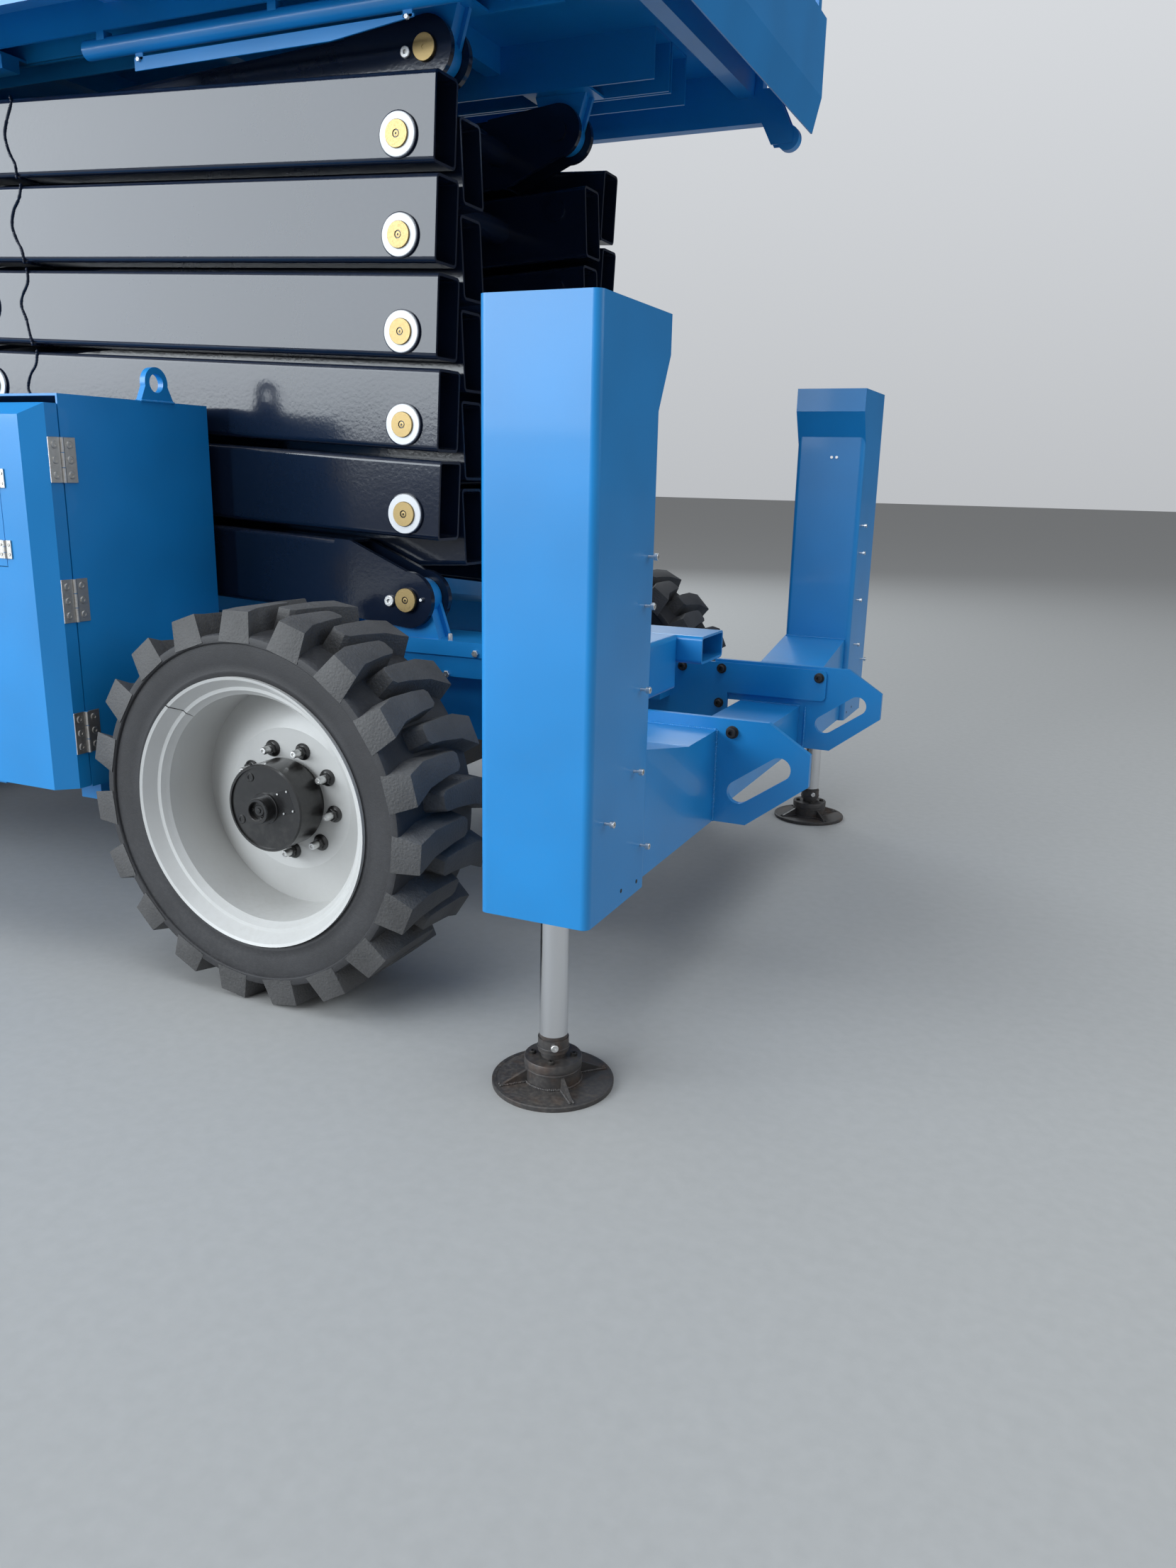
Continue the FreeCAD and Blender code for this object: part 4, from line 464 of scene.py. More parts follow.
def fastenerTree():
    tree, given, out = newTree("fastenerRow", (
        ("Head Radius", "NodeSocketFloat", 0.01), ("Head Height", "NodeSocketFloat", 0.006),
        ("Sides", "NodeSocketInt", 6), ("Chamfer", "NodeSocketFloat", 0.001),
        ("Socket Ratio", "NodeSocketFloat", 0.5), ("Socket Depth", "NodeSocketFloat", 0.002),
        ("Stand Off", "NodeSocketFloat", 0.0), ("Paint", "NodeSocketMaterial", None)))
    up = step(tree, "ShaderNodeCombineXYZ", Z=1.0).outputs[0]
    disc = step(tree, "GeometryNodeMeshCircle", {"fill_type": "NGON"}, Vertices=given["Sides"],
                Radius=given["Head Radius"]).outputs[0]

    def raised(mesh, chosen, height, scale):
        grown = step(tree, "GeometryNodeExtrudeMesh", {"mode": "FACES"}, Mesh=mesh, Offset=up,
                     Offset_Scale=height, Individual=False)
        if chosen is not None:
            tree.links.new(chosen, grown.inputs["Selection"])
        sized = step(tree, "GeometryNodeScaleElements", {"domain": "FACE"}, Geometry=grown.outputs["Mesh"],
                     Selection=grown.outputs["Top"], Scale=scale)
        return sized.outputs[0], grown.outputs["Top"]

    body, top = raised(disc, None, math2(tree, "SUBTRACT", given["Head Height"], given["Chamfer"]), 1.0)
    body, top = raised(body, top, given["Chamfer"], 0.86)
    body, top = raised(body, top, 0.0, given["Socket Ratio"])
    body, top = raised(body, top, math2(tree, "MULTIPLY", given["Socket Depth"], -1.0), 0.94)
    base = step(tree, "GeometryNodeFlipFaces", Mesh=disc).outputs[0]
    joined = tree.nodes.new("GeometryNodeJoinGeometry")
    for part in (body, base):
        tree.links.new(part, joined.inputs[0])
    closed = step(tree, "GeometryNodeMergeByDistance", Geometry=joined.outputs[0], Distance=1e-6)
    lift = step(tree, "ShaderNodeCombineXYZ", Z=given["Stand Off"]).outputs[0]
    head = step(tree, "GeometryNodeTransform", Geometry=closed.outputs[0], Translation=lift)
    facing = step(tree, "GeometryNodeInputNamedAttribute", {"data_type": "FLOAT_VECTOR"}, Name="facing")
    turn = step(tree, "FunctionNodeAlignRotationToVector", {"axis": "Z"}, Vector=facing.outputs[0])
    row = step(tree, "GeometryNodeInstanceOnPoints", Points=given["Geometry"], Instance=head.outputs[0],
               Rotation=turn.outputs[0])
    endTree(tree, row.outputs[0], given["Paint"], out)
    return tree


def weldTree():
    tree, given, out = newTree("weldRun", (
        ("Spacing", "NodeSocketFloat", 0.004), ("Width", "NodeSocketFloat", 0.004),
        ("Height", "NodeSocketFloat", 0.002), ("Seed", "NodeSocketInt", 7), ("Paint", "NodeSocketMaterial", None)))
    path = step(tree, "GeometryNodeMeshToCurve", Mesh=given["Geometry"])
    run = step(tree, "GeometryNodeResampleCurve", {"mode": "LENGTH"}, Curve=path.outputs[0], Length=given["Spacing"])
    blob = step(tree, "GeometryNodeMeshUVSphere", Segments=7, Rings=5, Radius=1.0)
    smooth = step(tree, "GeometryNodeSetShadeSmooth", Geometry=blob.outputs[0])
    tangent = step(tree, "GeometryNodeInputTangent")
    turn = step(tree, "FunctionNodeAlignRotationToVector", {"axis": "X"}, Vector=tangent.outputs[0])
    size = step(tree, "ShaderNodeCombineXYZ", Y=given["Width"], Z=given["Height"])
    tree.links.new(math2(tree, "MULTIPLY", given["Spacing"], 0.95), size.inputs[0])
    vary = step(tree, "FunctionNodeRandomValue", {"data_type": "FLOAT_VECTOR"}, Seed=given["Seed"])
    vary.inputs[0].default_value = (0.85, 0.8, 0.8)
    vary.inputs[1].default_value = (1.2, 1.15, 1.2)
    scale = tree.nodes.new("ShaderNodeVectorMath")
    scale.operation = "MULTIPLY"
    tree.links.new(size.outputs[0], scale.inputs[0])
    tree.links.new(vary.outputs[0], scale.inputs[1])
    row = step(tree, "GeometryNodeInstanceOnPoints", Points=run.outputs[0], Instance=smooth.outputs[0],
               Rotation=turn.outputs[0], Scale=scale.outputs[0])
    endTree(tree, row.outputs[0], given["Paint"], out)
    return tree


def ringTree():
    tree, given, out = newTree("wheelRing", (
        ("Shape", "NodeSocketObject", None), ("Count", "NodeSocketInt", 10), ("Turn", "NodeSocketFloat", 0.0),
        ("Centre", "NodeSocketVector", (0, 0, 0)), ("Paint", "NodeSocketMaterial", None)))
    shape = step(tree, "GeometryNodeObjectInfo", Object=given["Shape"])
    points = step(tree, "GeometryNodePoints", Count=given["Count"])
    pitch = math2(tree, "DIVIDE", 2 * math.pi, given["Count"])
    index = step(tree, "GeometryNodeInputIndex").outputs[0]
    angle = math2(tree, "ADD", math2(tree, "MULTIPLY", index, pitch), given["Turn"])
    turn = step(tree, "ShaderNodeCombineXYZ", Y=angle)
    row = step(tree, "GeometryNodeInstanceOnPoints", Points=points.outputs[0], Instance=shape.outputs["Geometry"],
               Rotation=turn.outputs[0])
    moved = step(tree, "GeometryNodeTransform", Geometry=row.outputs[0], Translation=given["Centre"])
    both = tree.nodes.new("GeometryNodeJoinGeometry")
    tree.links.new(moved.outputs[0], both.inputs[0])
    tree.links.new(given["Geometry"], both.inputs[0])
    endTree(tree, both.outputs[0], given["Paint"], out)
    return tree


def grow(tree, name, carrier, **values):
    holder = bpy.data.objects.new(name + "Carrier", carrier)
    bpy.context.scene.collection.objects.link(holder)
    modifier = holder.modifiers.new("grow", "NODES")
    modifier.node_group = tree
    sockets = {item.name: item.identifier for item in tree.interface.items_tree if item.in_out == "INPUT"}
    for label, value in values.items():
        modifier[sockets[label.replace("_", " ")]] = value
    graph = bpy.context.evaluated_depsgraph_get()
    grown = bpy.data.meshes.new_from_object(holder.evaluated_get(graph))
    bpy.data.objects.remove(holder)
    return grown


def pointCarrier(places):
    mesh = bpy.data.meshes.new("places")
    mesh.from_pydata([tuple(spot) for spot, _ in places], [], [])
    facing = mesh.attributes.new("facing", "FLOAT_VECTOR", "POINT")
    facing.data.foreach_set("vector", [value for _, direction in places for value in direction])
    return mesh


def pathCarrier(paths):
    mesh = bpy.data.meshes.new("paths")
    spots, edges = [], []
    for path in paths:
        first = len(spots)
        spots += [tuple(spot) for spot in path]
        edges += [(first + index, first + index + 1) for index in range(len(path) - 1)]
    mesh.from_pydata(spots, edges, [])
    return mesh


fastenerRow = fastenerTree()
weldRun = weldTree()
wheelRing = ringTree()


def fasteners(name, body, slot, places, paint, **sizes):
    grown = grow(fastenerRow, name, pointCarrier(places), Paint=paint, **sizes)
    return makePiece(name, grown, body, [paint], 25)


def welds(name, body, slot, paths, paint, **sizes):
    grown = grow(weldRun, name, pathCarrier(paths), Paint=paint, **sizes)
    return makePiece(name, grown, body, [paint], 60)


def trashShape(name, bm):
    mesh = bpy.data.meshes.new(name)
    bmesh.ops.recalc_face_normals(bm, faces=bm.faces)
    bm.to_mesh(mesh)
    bm.free()
    shape = bpy.data.objects.new(name, mesh)
    bpy.context.scene.collection.objects.link(shape)
    trash.append(shape)
    return shape


# Tyres: a round carcass with staggered lugs

tyreShape = {
    "lugs": 19,
    "steps": 114,               # sides of the carcass
    "profile": (                # radius and distance from the middle plane, outer half
        (0.3525, 0.1400), (0.3535, 0.1500), (0.3600, 0.1620), (0.3700, 0.1690), (0.3790, 0.1712),
        (0.3850, 0.1738), (0.3905, 0.1742), (0.3935, 0.1732), (0.4100, 0.1765), (0.4350, 0.1792),
        (0.4560, 0.1800), (0.4632, 0.1796), (0.4640, 0.1852), (0.4665, 0.1880), (0.4780, 0.1882),
        (0.4850, 0.1856), (0.4880, 0.1800), (0.4885, 0.1640), (0.4870, 0.1300), (0.4860, 0.0350)),
    # top of a lug: along the tread and across it, from its face at the shoulder to its inner end
    "lugTop": ((-0.0440, 0.1765), (0.0400, 0.1765), (0.0080, 0.1030), (-0.0040, 0.0100), (-0.0060, -0.0400),
               (-0.0160, -0.0540), (-0.0500, -0.0540), (-0.0610, -0.0420), (-0.0640, 0.0100), (-0.0640, 0.1060)),
    "tread": 0.5493,
    "root": 0.4700,
    "shoulderRoot": 0.1904,     # where a lug's face leaves the sidewall
    "draft": 0.0085,            # how much wider a lug is at its root
    "edge": 0.0030,
    "grainFrom": 0.5440,        # the rough tread face lies outside this radius
}


def lugShape(setup, flip):
    lug = bmesh.new()
    outline = setup["lugTop"]
    midAlong = sum(a for a, _ in outline) / len(outline)
    rings = []
    for radius, spread in ((setup["root"], setup["draft"]), (setup["tread"], 0.0)):
        ring = []
        for index, (along, across) in enumerate(outline):
            x = along + math.copysign(spread, along - midAlong)
            y = across
            if spread:
                y = setup["shoulderRoot"] if index < 2 else across - spread * (across < 0)
            ring.append(lug.verts.new((x, y * flip, math.sqrt(radius ** 2 - x ** 2))))
        rings.append(ring)
    for index in range(len(outline)):
        after = (index + 1) % len(outline)
        lug.faces.new((rings[0][index], rings[0][after], rings[1][after], rings[1][index]))
    lug.faces.new(rings[0])
    # the top is laid in strips, so it can follow the tread's curve
    top = rings[1]
    strips = ((0, 1, 2, 9), (9, 2, 3, 8), (8, 3, 4, 7), (7, 4, 5, 6))
    faces = [lug.faces.new([top[index] for index in strip]) for strip in strips]
    bmesh.ops.recalc_face_normals(lug, faces=lug.faces)
    rim = [edge for edge in lug.edges if sum(face in faces for face in edge.link_faces) == 1]
    corners = [edge for edge in lug.edges
               if not any(face in faces or len(face.verts) > 4 for face in edge.link_faces)]
    bmesh.ops.bevel(lug, geom=rim + corners, offset=setup["edge"], segments=2, affect="EDGES", profile=0.6)
    return lug


def makeTyres(setup):
    shapes = [trashShape("lugLeft", lugShape(setup, 1)), trashShape("lugRight", lugShape(setup, -1))]
    half = list(setup["profile"])
    loop = half + [(radius, -across) for radius, across in reversed(half)]
    pitch = 2 * math.pi / setup["lugs"]
    for end in ends:
        for side in sides:
            node = "tyre_%s_%s" % (end, side)
            low, high = (Vector(corner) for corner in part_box(node))
            centre = (low + high) / 2
            rows = bmesh.new()
            for shape, shift in zip(shapes, (0.0, 0.5)):
                row = grow(wheelRing, "lugRow", bpy.data.meshes.new("none"), Shape=shape, Count=setup["lugs"],
                           Turn=math.pi + pitch * shift, Centre=centre, Paint=tyreRubber)
                rows.from_mesh(row)
            for face in rows.faces:
                away = face.calc_center_median() - centre
                away.y = 0
                if away.length > setup["grainFrom"]:
                    face.material_index = 1
            carcass = turned(loop, centre, (0, 1, 0), setup["steps"], True)
            addPart(rows, carcass)
            piece = makePiece("tyreBody_%s_%s" % (end, side), rows, "wheel_%s_%s" % (end, side),
                              [tyreRubber, treadRubber], 32)
            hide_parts(node)
    print("tyres done")


makeTyres(tyreShape)


# Arm pins: white washers and drilled brass caps, and locked pins at the arms' nose plates

armPins = {
    "reach": 1.665,
    "lowest": 1.075,
    "pitch": 0.255,
    "face": 0.630,
    # radius and distance from the arm's face
    "washer": ((0.0365, 0.0055), (0.0365, 0.0100), (0.0555, 0.0100), (0.0570, 0.0085), (0.0570, 0.0055)),
    "cap": ((0.0362, 0.0050), (0.0362, 0.0140), (0.0350, 0.0155), (0.0112, 0.0155), (0.0108, 0.0150),
            (0.0106, 0.0105), (0.0082, 0.0105), (0.0078, 0.0145), (0.0030, 0.0148), (0.0028, 0.0120), (0, 0.0118)),
    # a black ring round each white washer: painted shade standing in for the washer's side shadow
    "boss": ((0.0606, 0.0), (0.0606, 0.0062), (0.0596, 0.0068), (0.0550, 0.0068)),
    "lockBolt": (-0.062, -0.006),
    "nipple": (0.052, 0.004),
}


def pinPlaces(setup, level):
    low = setup["lowest"] + setup["pitch"] * (level - 1)
    reach, pitch = setup["reach"], setup["pitch"]
    return ((reach, low, level == 1), (0.0, low + pitch / 2, False), (-reach, low + pitch, level == levels))


def makeArmPins(setup):
    for level in range(1, levels + 1):
        part = bmesh.new()
        bolts, nipples = [], []
        for side in sides.values():
            for x, z, locked in pinPlaces(setup, level):
                origin, axis = (x, side * setup["face"], z), (0, side, 0)
                addPart(part, turned(setup["cap"], origin, axis, 40), 1)
                if locked:
                    bolts.append(((x + setup["lockBolt"][0], side * 0.630, z + setup["lockBolt"][1]), axis))
                    nipples.append(((x + setup["nipple"][0], side * 0.630, z + setup["nipple"][1]), axis))
                else:
                    addPart(part, turned(setup["washer"], origin, axis, 48), 0)
                    # black ring round the washer: painted shade for its side shadow
                    addPart(part, turned(setup["boss"], origin, axis, 48), 2)
        body = "outer_%d" % level
        makePiece("armPins_%d" % level, part, body, [washerPaint, brass, armBlack])
        if bolts:
            fasteners("pinLocks_%d" % level, body, "chrome", bolts, zinc, Head_Radius=0.017, Head_Height=0.010,
                      Sides=24, Chamfer=0.0015, Socket_Ratio=0.45, Socket_Depth=0.006)
            fasteners("pinNipples_%d" % level, body, "chrome", nipples, zinc, Head_Radius=0.0055,
                      Head_Height=0.010, Sides=12, Chamfer=0.004, Socket_Ratio=0.4, Socket_Depth=0.0005)
    for level, x, z in ((1, -setup["reach"], setup["lowest"]),
                        (levels, setup["reach"], setup["lowest"] + setup["pitch"] * levels)):
        part = bmesh.new()
        bolts = []
        for side in sides.values():
            addPart(part, turned(((0.0362, 0), (0.0362, 0.0085), (0.0350, 0.010), (0.006, 0.010), (0.0055, 0.0085),
                                  (0, 0.0085)), (x, side * 0.487, z), (0, side, 0), 40))
            bolts.append(((x + setup["lockBolt"][0], side * 0.487, z + setup["lockBolt"][1]), (0, side, 0)))
        body = "inner_%d" % level
        makePiece("framePins_%d" % level, part, body, [brass])
        fasteners("framePinLocks_%d" % level, body, "chrome", bolts, zinc, Head_Radius=0.016, Head_Height=0.0095,
                  Sides=24, Chamfer=0.0015, Socket_Ratio=0.45, Socket_Depth=0.006)
    print("arm pins done")


makeArmPins(armPins)


# Weld seams down the outer arms, wavy as laid by hand: side and the line's points for each arm

seamSetup = {
    "lines": {
        6: ((0.203, 2.559), (0.203, 2.543), (0.175, 2.495), (0.162, 2.456), (0.174, 2.409), (0.195, 2.373), (0.197, 2.338)),
        5: ((0.212, 2.308), (0.198, 2.274), (0.168, 2.241), (0.155, 2.201), (0.168, 2.164), (0.187, 2.134), (0.194, 2.100)),
        4: ((0.203, 2.061), (0.201, 2.025), (0.170, 1.984), (0.162, 1.954), (0.178, 1.916), (0.186, 1.879), (0.195, 1.842)),
        3: ((0.213, 1.817), (0.203, 1.780), (0.173, 1.749), (0.156, 1.711), (0.167, 1.686), (0.188, 1.645), (0.196, 1.604)),
        2: ((0.206, 1.536), (0.198, 1.500), (0.170, 1.460), (0.163, 1.425), (0.180, 1.390), (0.196, 1.350)),
        1: ((0.206, 1.285), (0.196, 1.245), (0.166, 1.205), (0.160, 1.165), (0.178, 1.130), (0.190, 1.098)),
    },
    "lean": 2.8328,             # degrees by which the arms' tubes lean at rest
    "face": 0.6302,
}


def curveThrough(points, steps=8):
    points = [Vector(point) for point in points]
    line = []
    for index in range(len(points) - 1):
        a, b = points[index], points[index + 1]
        before = points[max(index - 1, 0)]
        after = points[min(index + 2, len(points) - 1)]
        for position in range(steps):
            t = position / steps
            line.append(0.5 * ((2 * a) + (b - before) * t + (2 * before - 5 * a + 4 * b - after) * t * t
                               + (3 * a - before - 3 * b + after) * t ** 3))
    line.append(points[-1])
    return line


def makeSeams(setup):
    for level, spots in setup["lines"].items():
        middle = armPins["lowest"] + armPins["pitch"] * (level - 0.5)
        lean = math.tan(math.radians(setup["lean"]))
        top, bottom = (middle - spots[0][0] * lean + offset for offset in (0.1145, -0.1145))
        stretch = (top - bottom) / (spots[0][1] - spots[-1][1])
        lines = []
        for side in sides.values():
            heights = [(x, bottom + (z - spots[-1][1]) * stretch) for x, z in spots]
            lines.append(curveThrough([(x, side * setup["face"], z) for x, z in heights]))
            lines.append([(spots[-1][0], side * (0.630 - depth), bottom - 0.0005) for depth in (0.014, 0.05, 0.11)])
        welds("armSeams_%d" % level, "outer_%d" % level, "arm_paint", lines, armBlack, Spacing=0.0085,
              Width=0.0060, Height=0.0042, Seed=level)
    print("arm seams done")


makeSeams(seamSetup)


# Wheels: stud nuts, hub plates and plugs, rim seam

wheelSetup = {
    "nuts": 9,
    "nutCircle": 0.1515,
    "turn": -9.0,               # degrees of the first nut from the front
    # radius and height of the flanged nut, and of the stud through it
    "nut": ((0.0240, 0.0), (0.0240, 0.003), (0.0205, 0.006), (0.0180, 0.0075), (0.0180, 0.0170), (0.0165, 0.0185),
            (0.0100, 0.0185)),
    "stud": ((0.0108, 0.014), (0.0108, 0.0410), (0.0088, 0.0450), (0.0050, 0.0453), (0.0045, 0.0415), (0, 0.0412)),
    "face": 1.1002,             # outer face of the wheel's disc
    "plugs": (120.0, 207.0),
    "plugCircle": 0.095,
    "plate": (0.068, 0.045),
    "plateAngle": 20.0,
    "plateCircle": 0.074,
}


def aroundHub(centre, face, side, radius, degrees):
    angle = math.radians(degrees)
    return Vector((centre.x + radius * math.cos(angle), side * face, centre.z + radius * math.sin(angle)))


def makeNuts(setup, end, side, centre):
    out = sides[side]
    body = "wheel_%s_%s" % (end, side)
    pieces = bmesh.new()
    for profile, paint, segments in ((setup["nut"], hubBlack, 6), (setup["stud"], zinc, 20)):
        shape = turned(profile, (setup["nutCircle"], 0, 0), (0, out, 0), segments)
        if segments == 6:
            addPart(shape, turned(profile[:4], (setup["nutCircle"], 0, 0), (0, out, 0), 24))
        source = trashShape("nutShape", shape)
        row = grow(wheelRing, "nutRow", bpy.data.meshes.new("none"), Shape=source, Count=setup["nuts"],
                   Turn=math.radians(-setup["turn"]), Centre=Vector((centre.x, out * setup["face"], centre.z)),
                   Paint=paint)
        start = len(pieces.faces)
        pieces.from_mesh(row)
        pieces.faces.ensure_lookup_table()
        for face in pieces.faces[start:]:
            face.material_index = 0 if paint is hubBlack else 1
    makePiece("wheelNuts_%s_%s" % (end, side), pieces, body, [hubBlack, zinc])


def makeHubFace(setup, end, side, centre):
    out = sides[side]
    body = "wheel_%s_%s" % (end, side)
    part = bmesh.new()
    axis = (0, out, 0)
    hubFace = 1.2102
    # a stepped collar about the boss and a domed centre within it
    addPart(part, turned(((0.0435, 0.0), (0.0435, 0.004), (0.0420, 0.0055), (0.0352, 0.0055)),
                         (centre.x, out * hubFace, centre.z), axis, 40))
    addPart(part, turned(((0.0352, 0.028), (0.0356, 0.030), (0.0356, 0.036), (0.0340, 0.0385), (0.0275, 0.0385),
                          (0.0262, 0.0370), (0.0262, 0.026)), (centre.x, out * hubFace, centre.z), axis, 40))
    addPart(part, turned(((0.0160, 0.0235), (0.0160, 0.0262), (0.0145, 0.0275), (0.0080, 0.0275), (0.0065, 0.0300),
                          (0, 0.0310)), (centre.x, out * hubFace, centre.z), axis, 28))
    for degrees in setup["plugs"]:
        spot = aroundHub(centre, hubFace, out, setup["plugCircle"], degrees)
        addPart(part, turned(((0.0125, 0.0), (0.0125, 0.0018), (0.0110, 0.0030), (0.0062, 0.0030), (0.0055, 0.0008),
                              (0, 0.0008)), spot, axis, 20))
    angle = math.radians(setup["plateAngle"])
    middle = aroundHub(centre, hubFace, out, setup["plateCircle"], setup["plateAngle"])
    along = Vector((-math.sin(angle), 0, math.cos(angle)))
    across = Vector((math.cos(angle), 0, math.sin(angle)))
    plate = slab(roundedOutline(setup["plate"][0], setup["plate"][1], 0.003), middle,
                 along if out < 0 else -along, across, 0.0012)
    addPart(part, plate, 1)
    makePiece("hubFace_%s_%s" % (end, side), part, body, [hubBlack, blankPlate])
    rivets = []
    for a in (-1, 1):
        for b in (-1, 1):
            spot = middle + along * a * (setup["plate"][0] / 2 - 0.006) + across * b * (setup["plate"][1] / 2 - 0.006)
            rivets.append((spot + Vector((0, out * 0.001, 0)), axis))
    fasteners("plateRivets_%s_%s" % (end, side), body, "chrome", rivets, zinc, Head_Radius=0.0034,
              Head_Height=0.002, Sides=10, Chamfer=0.0012, Socket_Ratio=0.3, Socket_Depth=0.0001)
    screws = []
    for degrees in (60, 180, 300):
        screws.append((aroundHub(centre, hubFace + 0.024, out, 0.0205, degrees), axis))
    fasteners("bossScrews_%s_%s" % (end, side), body, "hub_paint", screws, blackBolt, Head_Radius=0.0045,
              Head_Height=0.004, Sides=14, Chamfer=0.0006, Socket_Ratio=0.5, Socket_Depth=0.0025)


def makeRimSeam(end, side, centre):
    out = sides[side]
    profile = ((0.3765, 1.2880), (0.3768, 1.2900), (0.3735, 1.2912), (0.3665, 1.2885), (0.3580, 1.2755),
               (0.3490, 1.2605), (0.3420, 1.2535), (0.3345, 1.2525), (0.3270, 1.2410), (0.3215, 1.2325))
    angle = math.radians(132.0)
    line = [(centre.x + radius * math.cos(angle + 0.012 * math.sin(70 * radius)), out * y,
             centre.z + radius * math.sin(angle + 0.012 * math.sin(70 * radius))) for radius, y in profile]
    welds("rimSeam_%s_%s" % (end, side), "wheel_%s_%s" % (end, side), "rim_paint", [line], axleSteel,
          Spacing=0.0022, Width=0.0014, Height=0.0012, Seed=3)


def makeWheelDetails(setup):
    for end in ends:
        for side in sides:
            low, high = (Vector(corner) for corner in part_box("tyre_%s_%s" % (end, side)))
            centre = (low + high) / 2
            makeNuts(setup, end, side, centre)
            makeHubFace(setup, end, side, centre)
            makeRimSeam(end, side, centre)
    print("wheel details done")


makeWheelDetails(wheelSetup)


# Hinges: stainless leaves with six screws on the doors, and small ones on the hatch

hingeSetup = {
    "doorZ": (0.709, 1.084, 1.463),
    "edges": {"front": 0.973, "rear": -0.880},
    "axisY": 1.254,
    "length": 0.120,
    "sheet": 0.0034,
    "boxLeaf": (1.2068, 1.2482),
    "doorLeaf": (1.2595, 1.2975),
    "screwRows": (-0.040, 0.0, 0.040),
}


def coverPlate(edge, sign, y0, y1, z0, z1, sheet):
    x0, x1 = sorted((edge, edge + sign * sheet))
    outline = rectangle(abs(y1 - y0), z1 - z0)
    return slab(outline, (x0, (y0 + y1) / 2, (z0 + z1) / 2), (0, 1, 0), (0, 0, 1), x1 - x0, 0.0006, 1)


def makeDoorHinges(setup):
    third = setup["length"] / 3
    for side, flank in sides.items():
        for end, sign in ends.items():
            edge = setup["edges"][end]
            axisX = edge + sign * 0.005
            fixed, moving = bmesh.new(), bmesh.new()
            fixedScrews, movingScrews = [], []
            outwards = (sign, 0, 0)
            for z in setup["doorZ"]:
                z0, z1 = z - setup["length"] / 2, z + setup["length"] / 2
                for part, screws, (y0, y1) in ((fixed, fixedScrews, setup["boxLeaf"]),
                                               (moving, movingScrews, setup["doorLeaf"])):
                    addPart(part, coverPlate(edge, sign, flank * y0, flank * y1, z0, z1, setup["sheet"]))
                    middle = flank * (y0 + y1) / 2
                    for row in setup["screwRows"]:
                        screws.append(((edge + sign * (setup["sheet"] - 0.0002), middle, z + row), outwards))
                for low, high, part in ((z - third / 2 + 0.0005, z + third / 2 - 0.0005, fixed),
                                        (z0, z - third / 2 - 0.0002, moving), (z + third / 2 + 0.0002, z1, moving)):
                    addPart(part, turned(((0.0040, 0), (0.0058, 0.0006), (0.0058, high - low - 0.0006),
                                          (0.0040, high - low)), (axisX, flank * setup["axisY"], low), (0, 0, 1), 20))
            door = "%s_door_%s" % (side, end)
            for name, part, screws, body in (("boxHinges", fixed, fixedScrews, "chassis"),
                                             ("doorHinges", moving, movingScrews, door)):
                label = "%s_%s_%s" % (name, side, end)
                makePiece(label, part, body, [stainless])
                fasteners(label + "_screws", body, "chrome", screws, stainless, Head_Radius=0.0102,
                          Head_Height=0.0026, Sides=18, Chamfer=0.0008, Socket_Ratio=0.5, Socket_Depth=0.0016)
    print("door hinges done")


def makeHatchHinges():
    fixed, moving = bmesh.new(), bmesh.new()
    fixedScrews, movingScrews = [], []
    axisX, axisY, face = 0.832, -1.3476, -1.3461
    for z in (1.223, 1.412):
        for part, screws, x0, x1, rows in ((moving, fixedScrews, axisX + 0.0062, axisX + 0.024, (-0.013, 0.013)),
                                           (fixed, movingScrews, axisX - 0.024, axisX - 0.0062, (-0.013, 0.013))):
            outline = rectangle(x1 - x0, 0.050)
            addPart(part, slab(outline, ((x0 + x1) / 2, face + 0.0024, z), (1, 0, 0), (0, 0, 1), 0.0042, 0.0005, 1))
            for row in rows:
                screws.append((((x0 + x1) / 2, face - 0.0017, z + row), (0, -1, 0)))
        for low, high, part in ((z - 0.0078, z + 0.0078, moving), (z - 0.025, z - 0.0085, fixed),
                                (z + 0.0085, z + 0.025, fixed)):
            addPart(part, turned(((0.0040, 0), (0.0056, 0.0005), (0.0056, high - low - 0.0005), (0.0040, high - low)),
                                 (axisX, axisY, low), (0, 0, 1), 18))
    for label, part, screws, body in (("hatchHingesDoor", moving, fixedScrews, "right_door_front"),
                                      ("hatchHingesFlap", fixed, movingScrews, "right_hatch")):
        makePiece(label, part, body, [stainless])
        fasteners(label + "_screws", body, "chrome", screws, stainless, Head_Radius=0.0048,
                  Head_Height=0.0018, Sides=14, Chamfer=0.0006, Socket_Ratio=0.5, Socket_Depth=0.001)
    print("hatch hinges done")


makeDoorHinges(hingeSetup)
makeHatchHinges()


# Screws on the jack covers, and the black bolts that hold the outrigger frames

coverScrews = {
    "near": ((-1.176, 1.280), (-1.187, 1.171), (-1.196, 0.981), (-1.224, 0.794), (-1.388, 0.711), (-1.167, 0.598)),
    # flat black discs where two holes are: painted shade for the holes' dark insides
    "holes": ((-1.280, 0.518), (-1.184, 0.481 + 0.030)),
    "hood": ((2.530, 1.573), (2.550, 1.573)),
    "face": 2.6582,
}


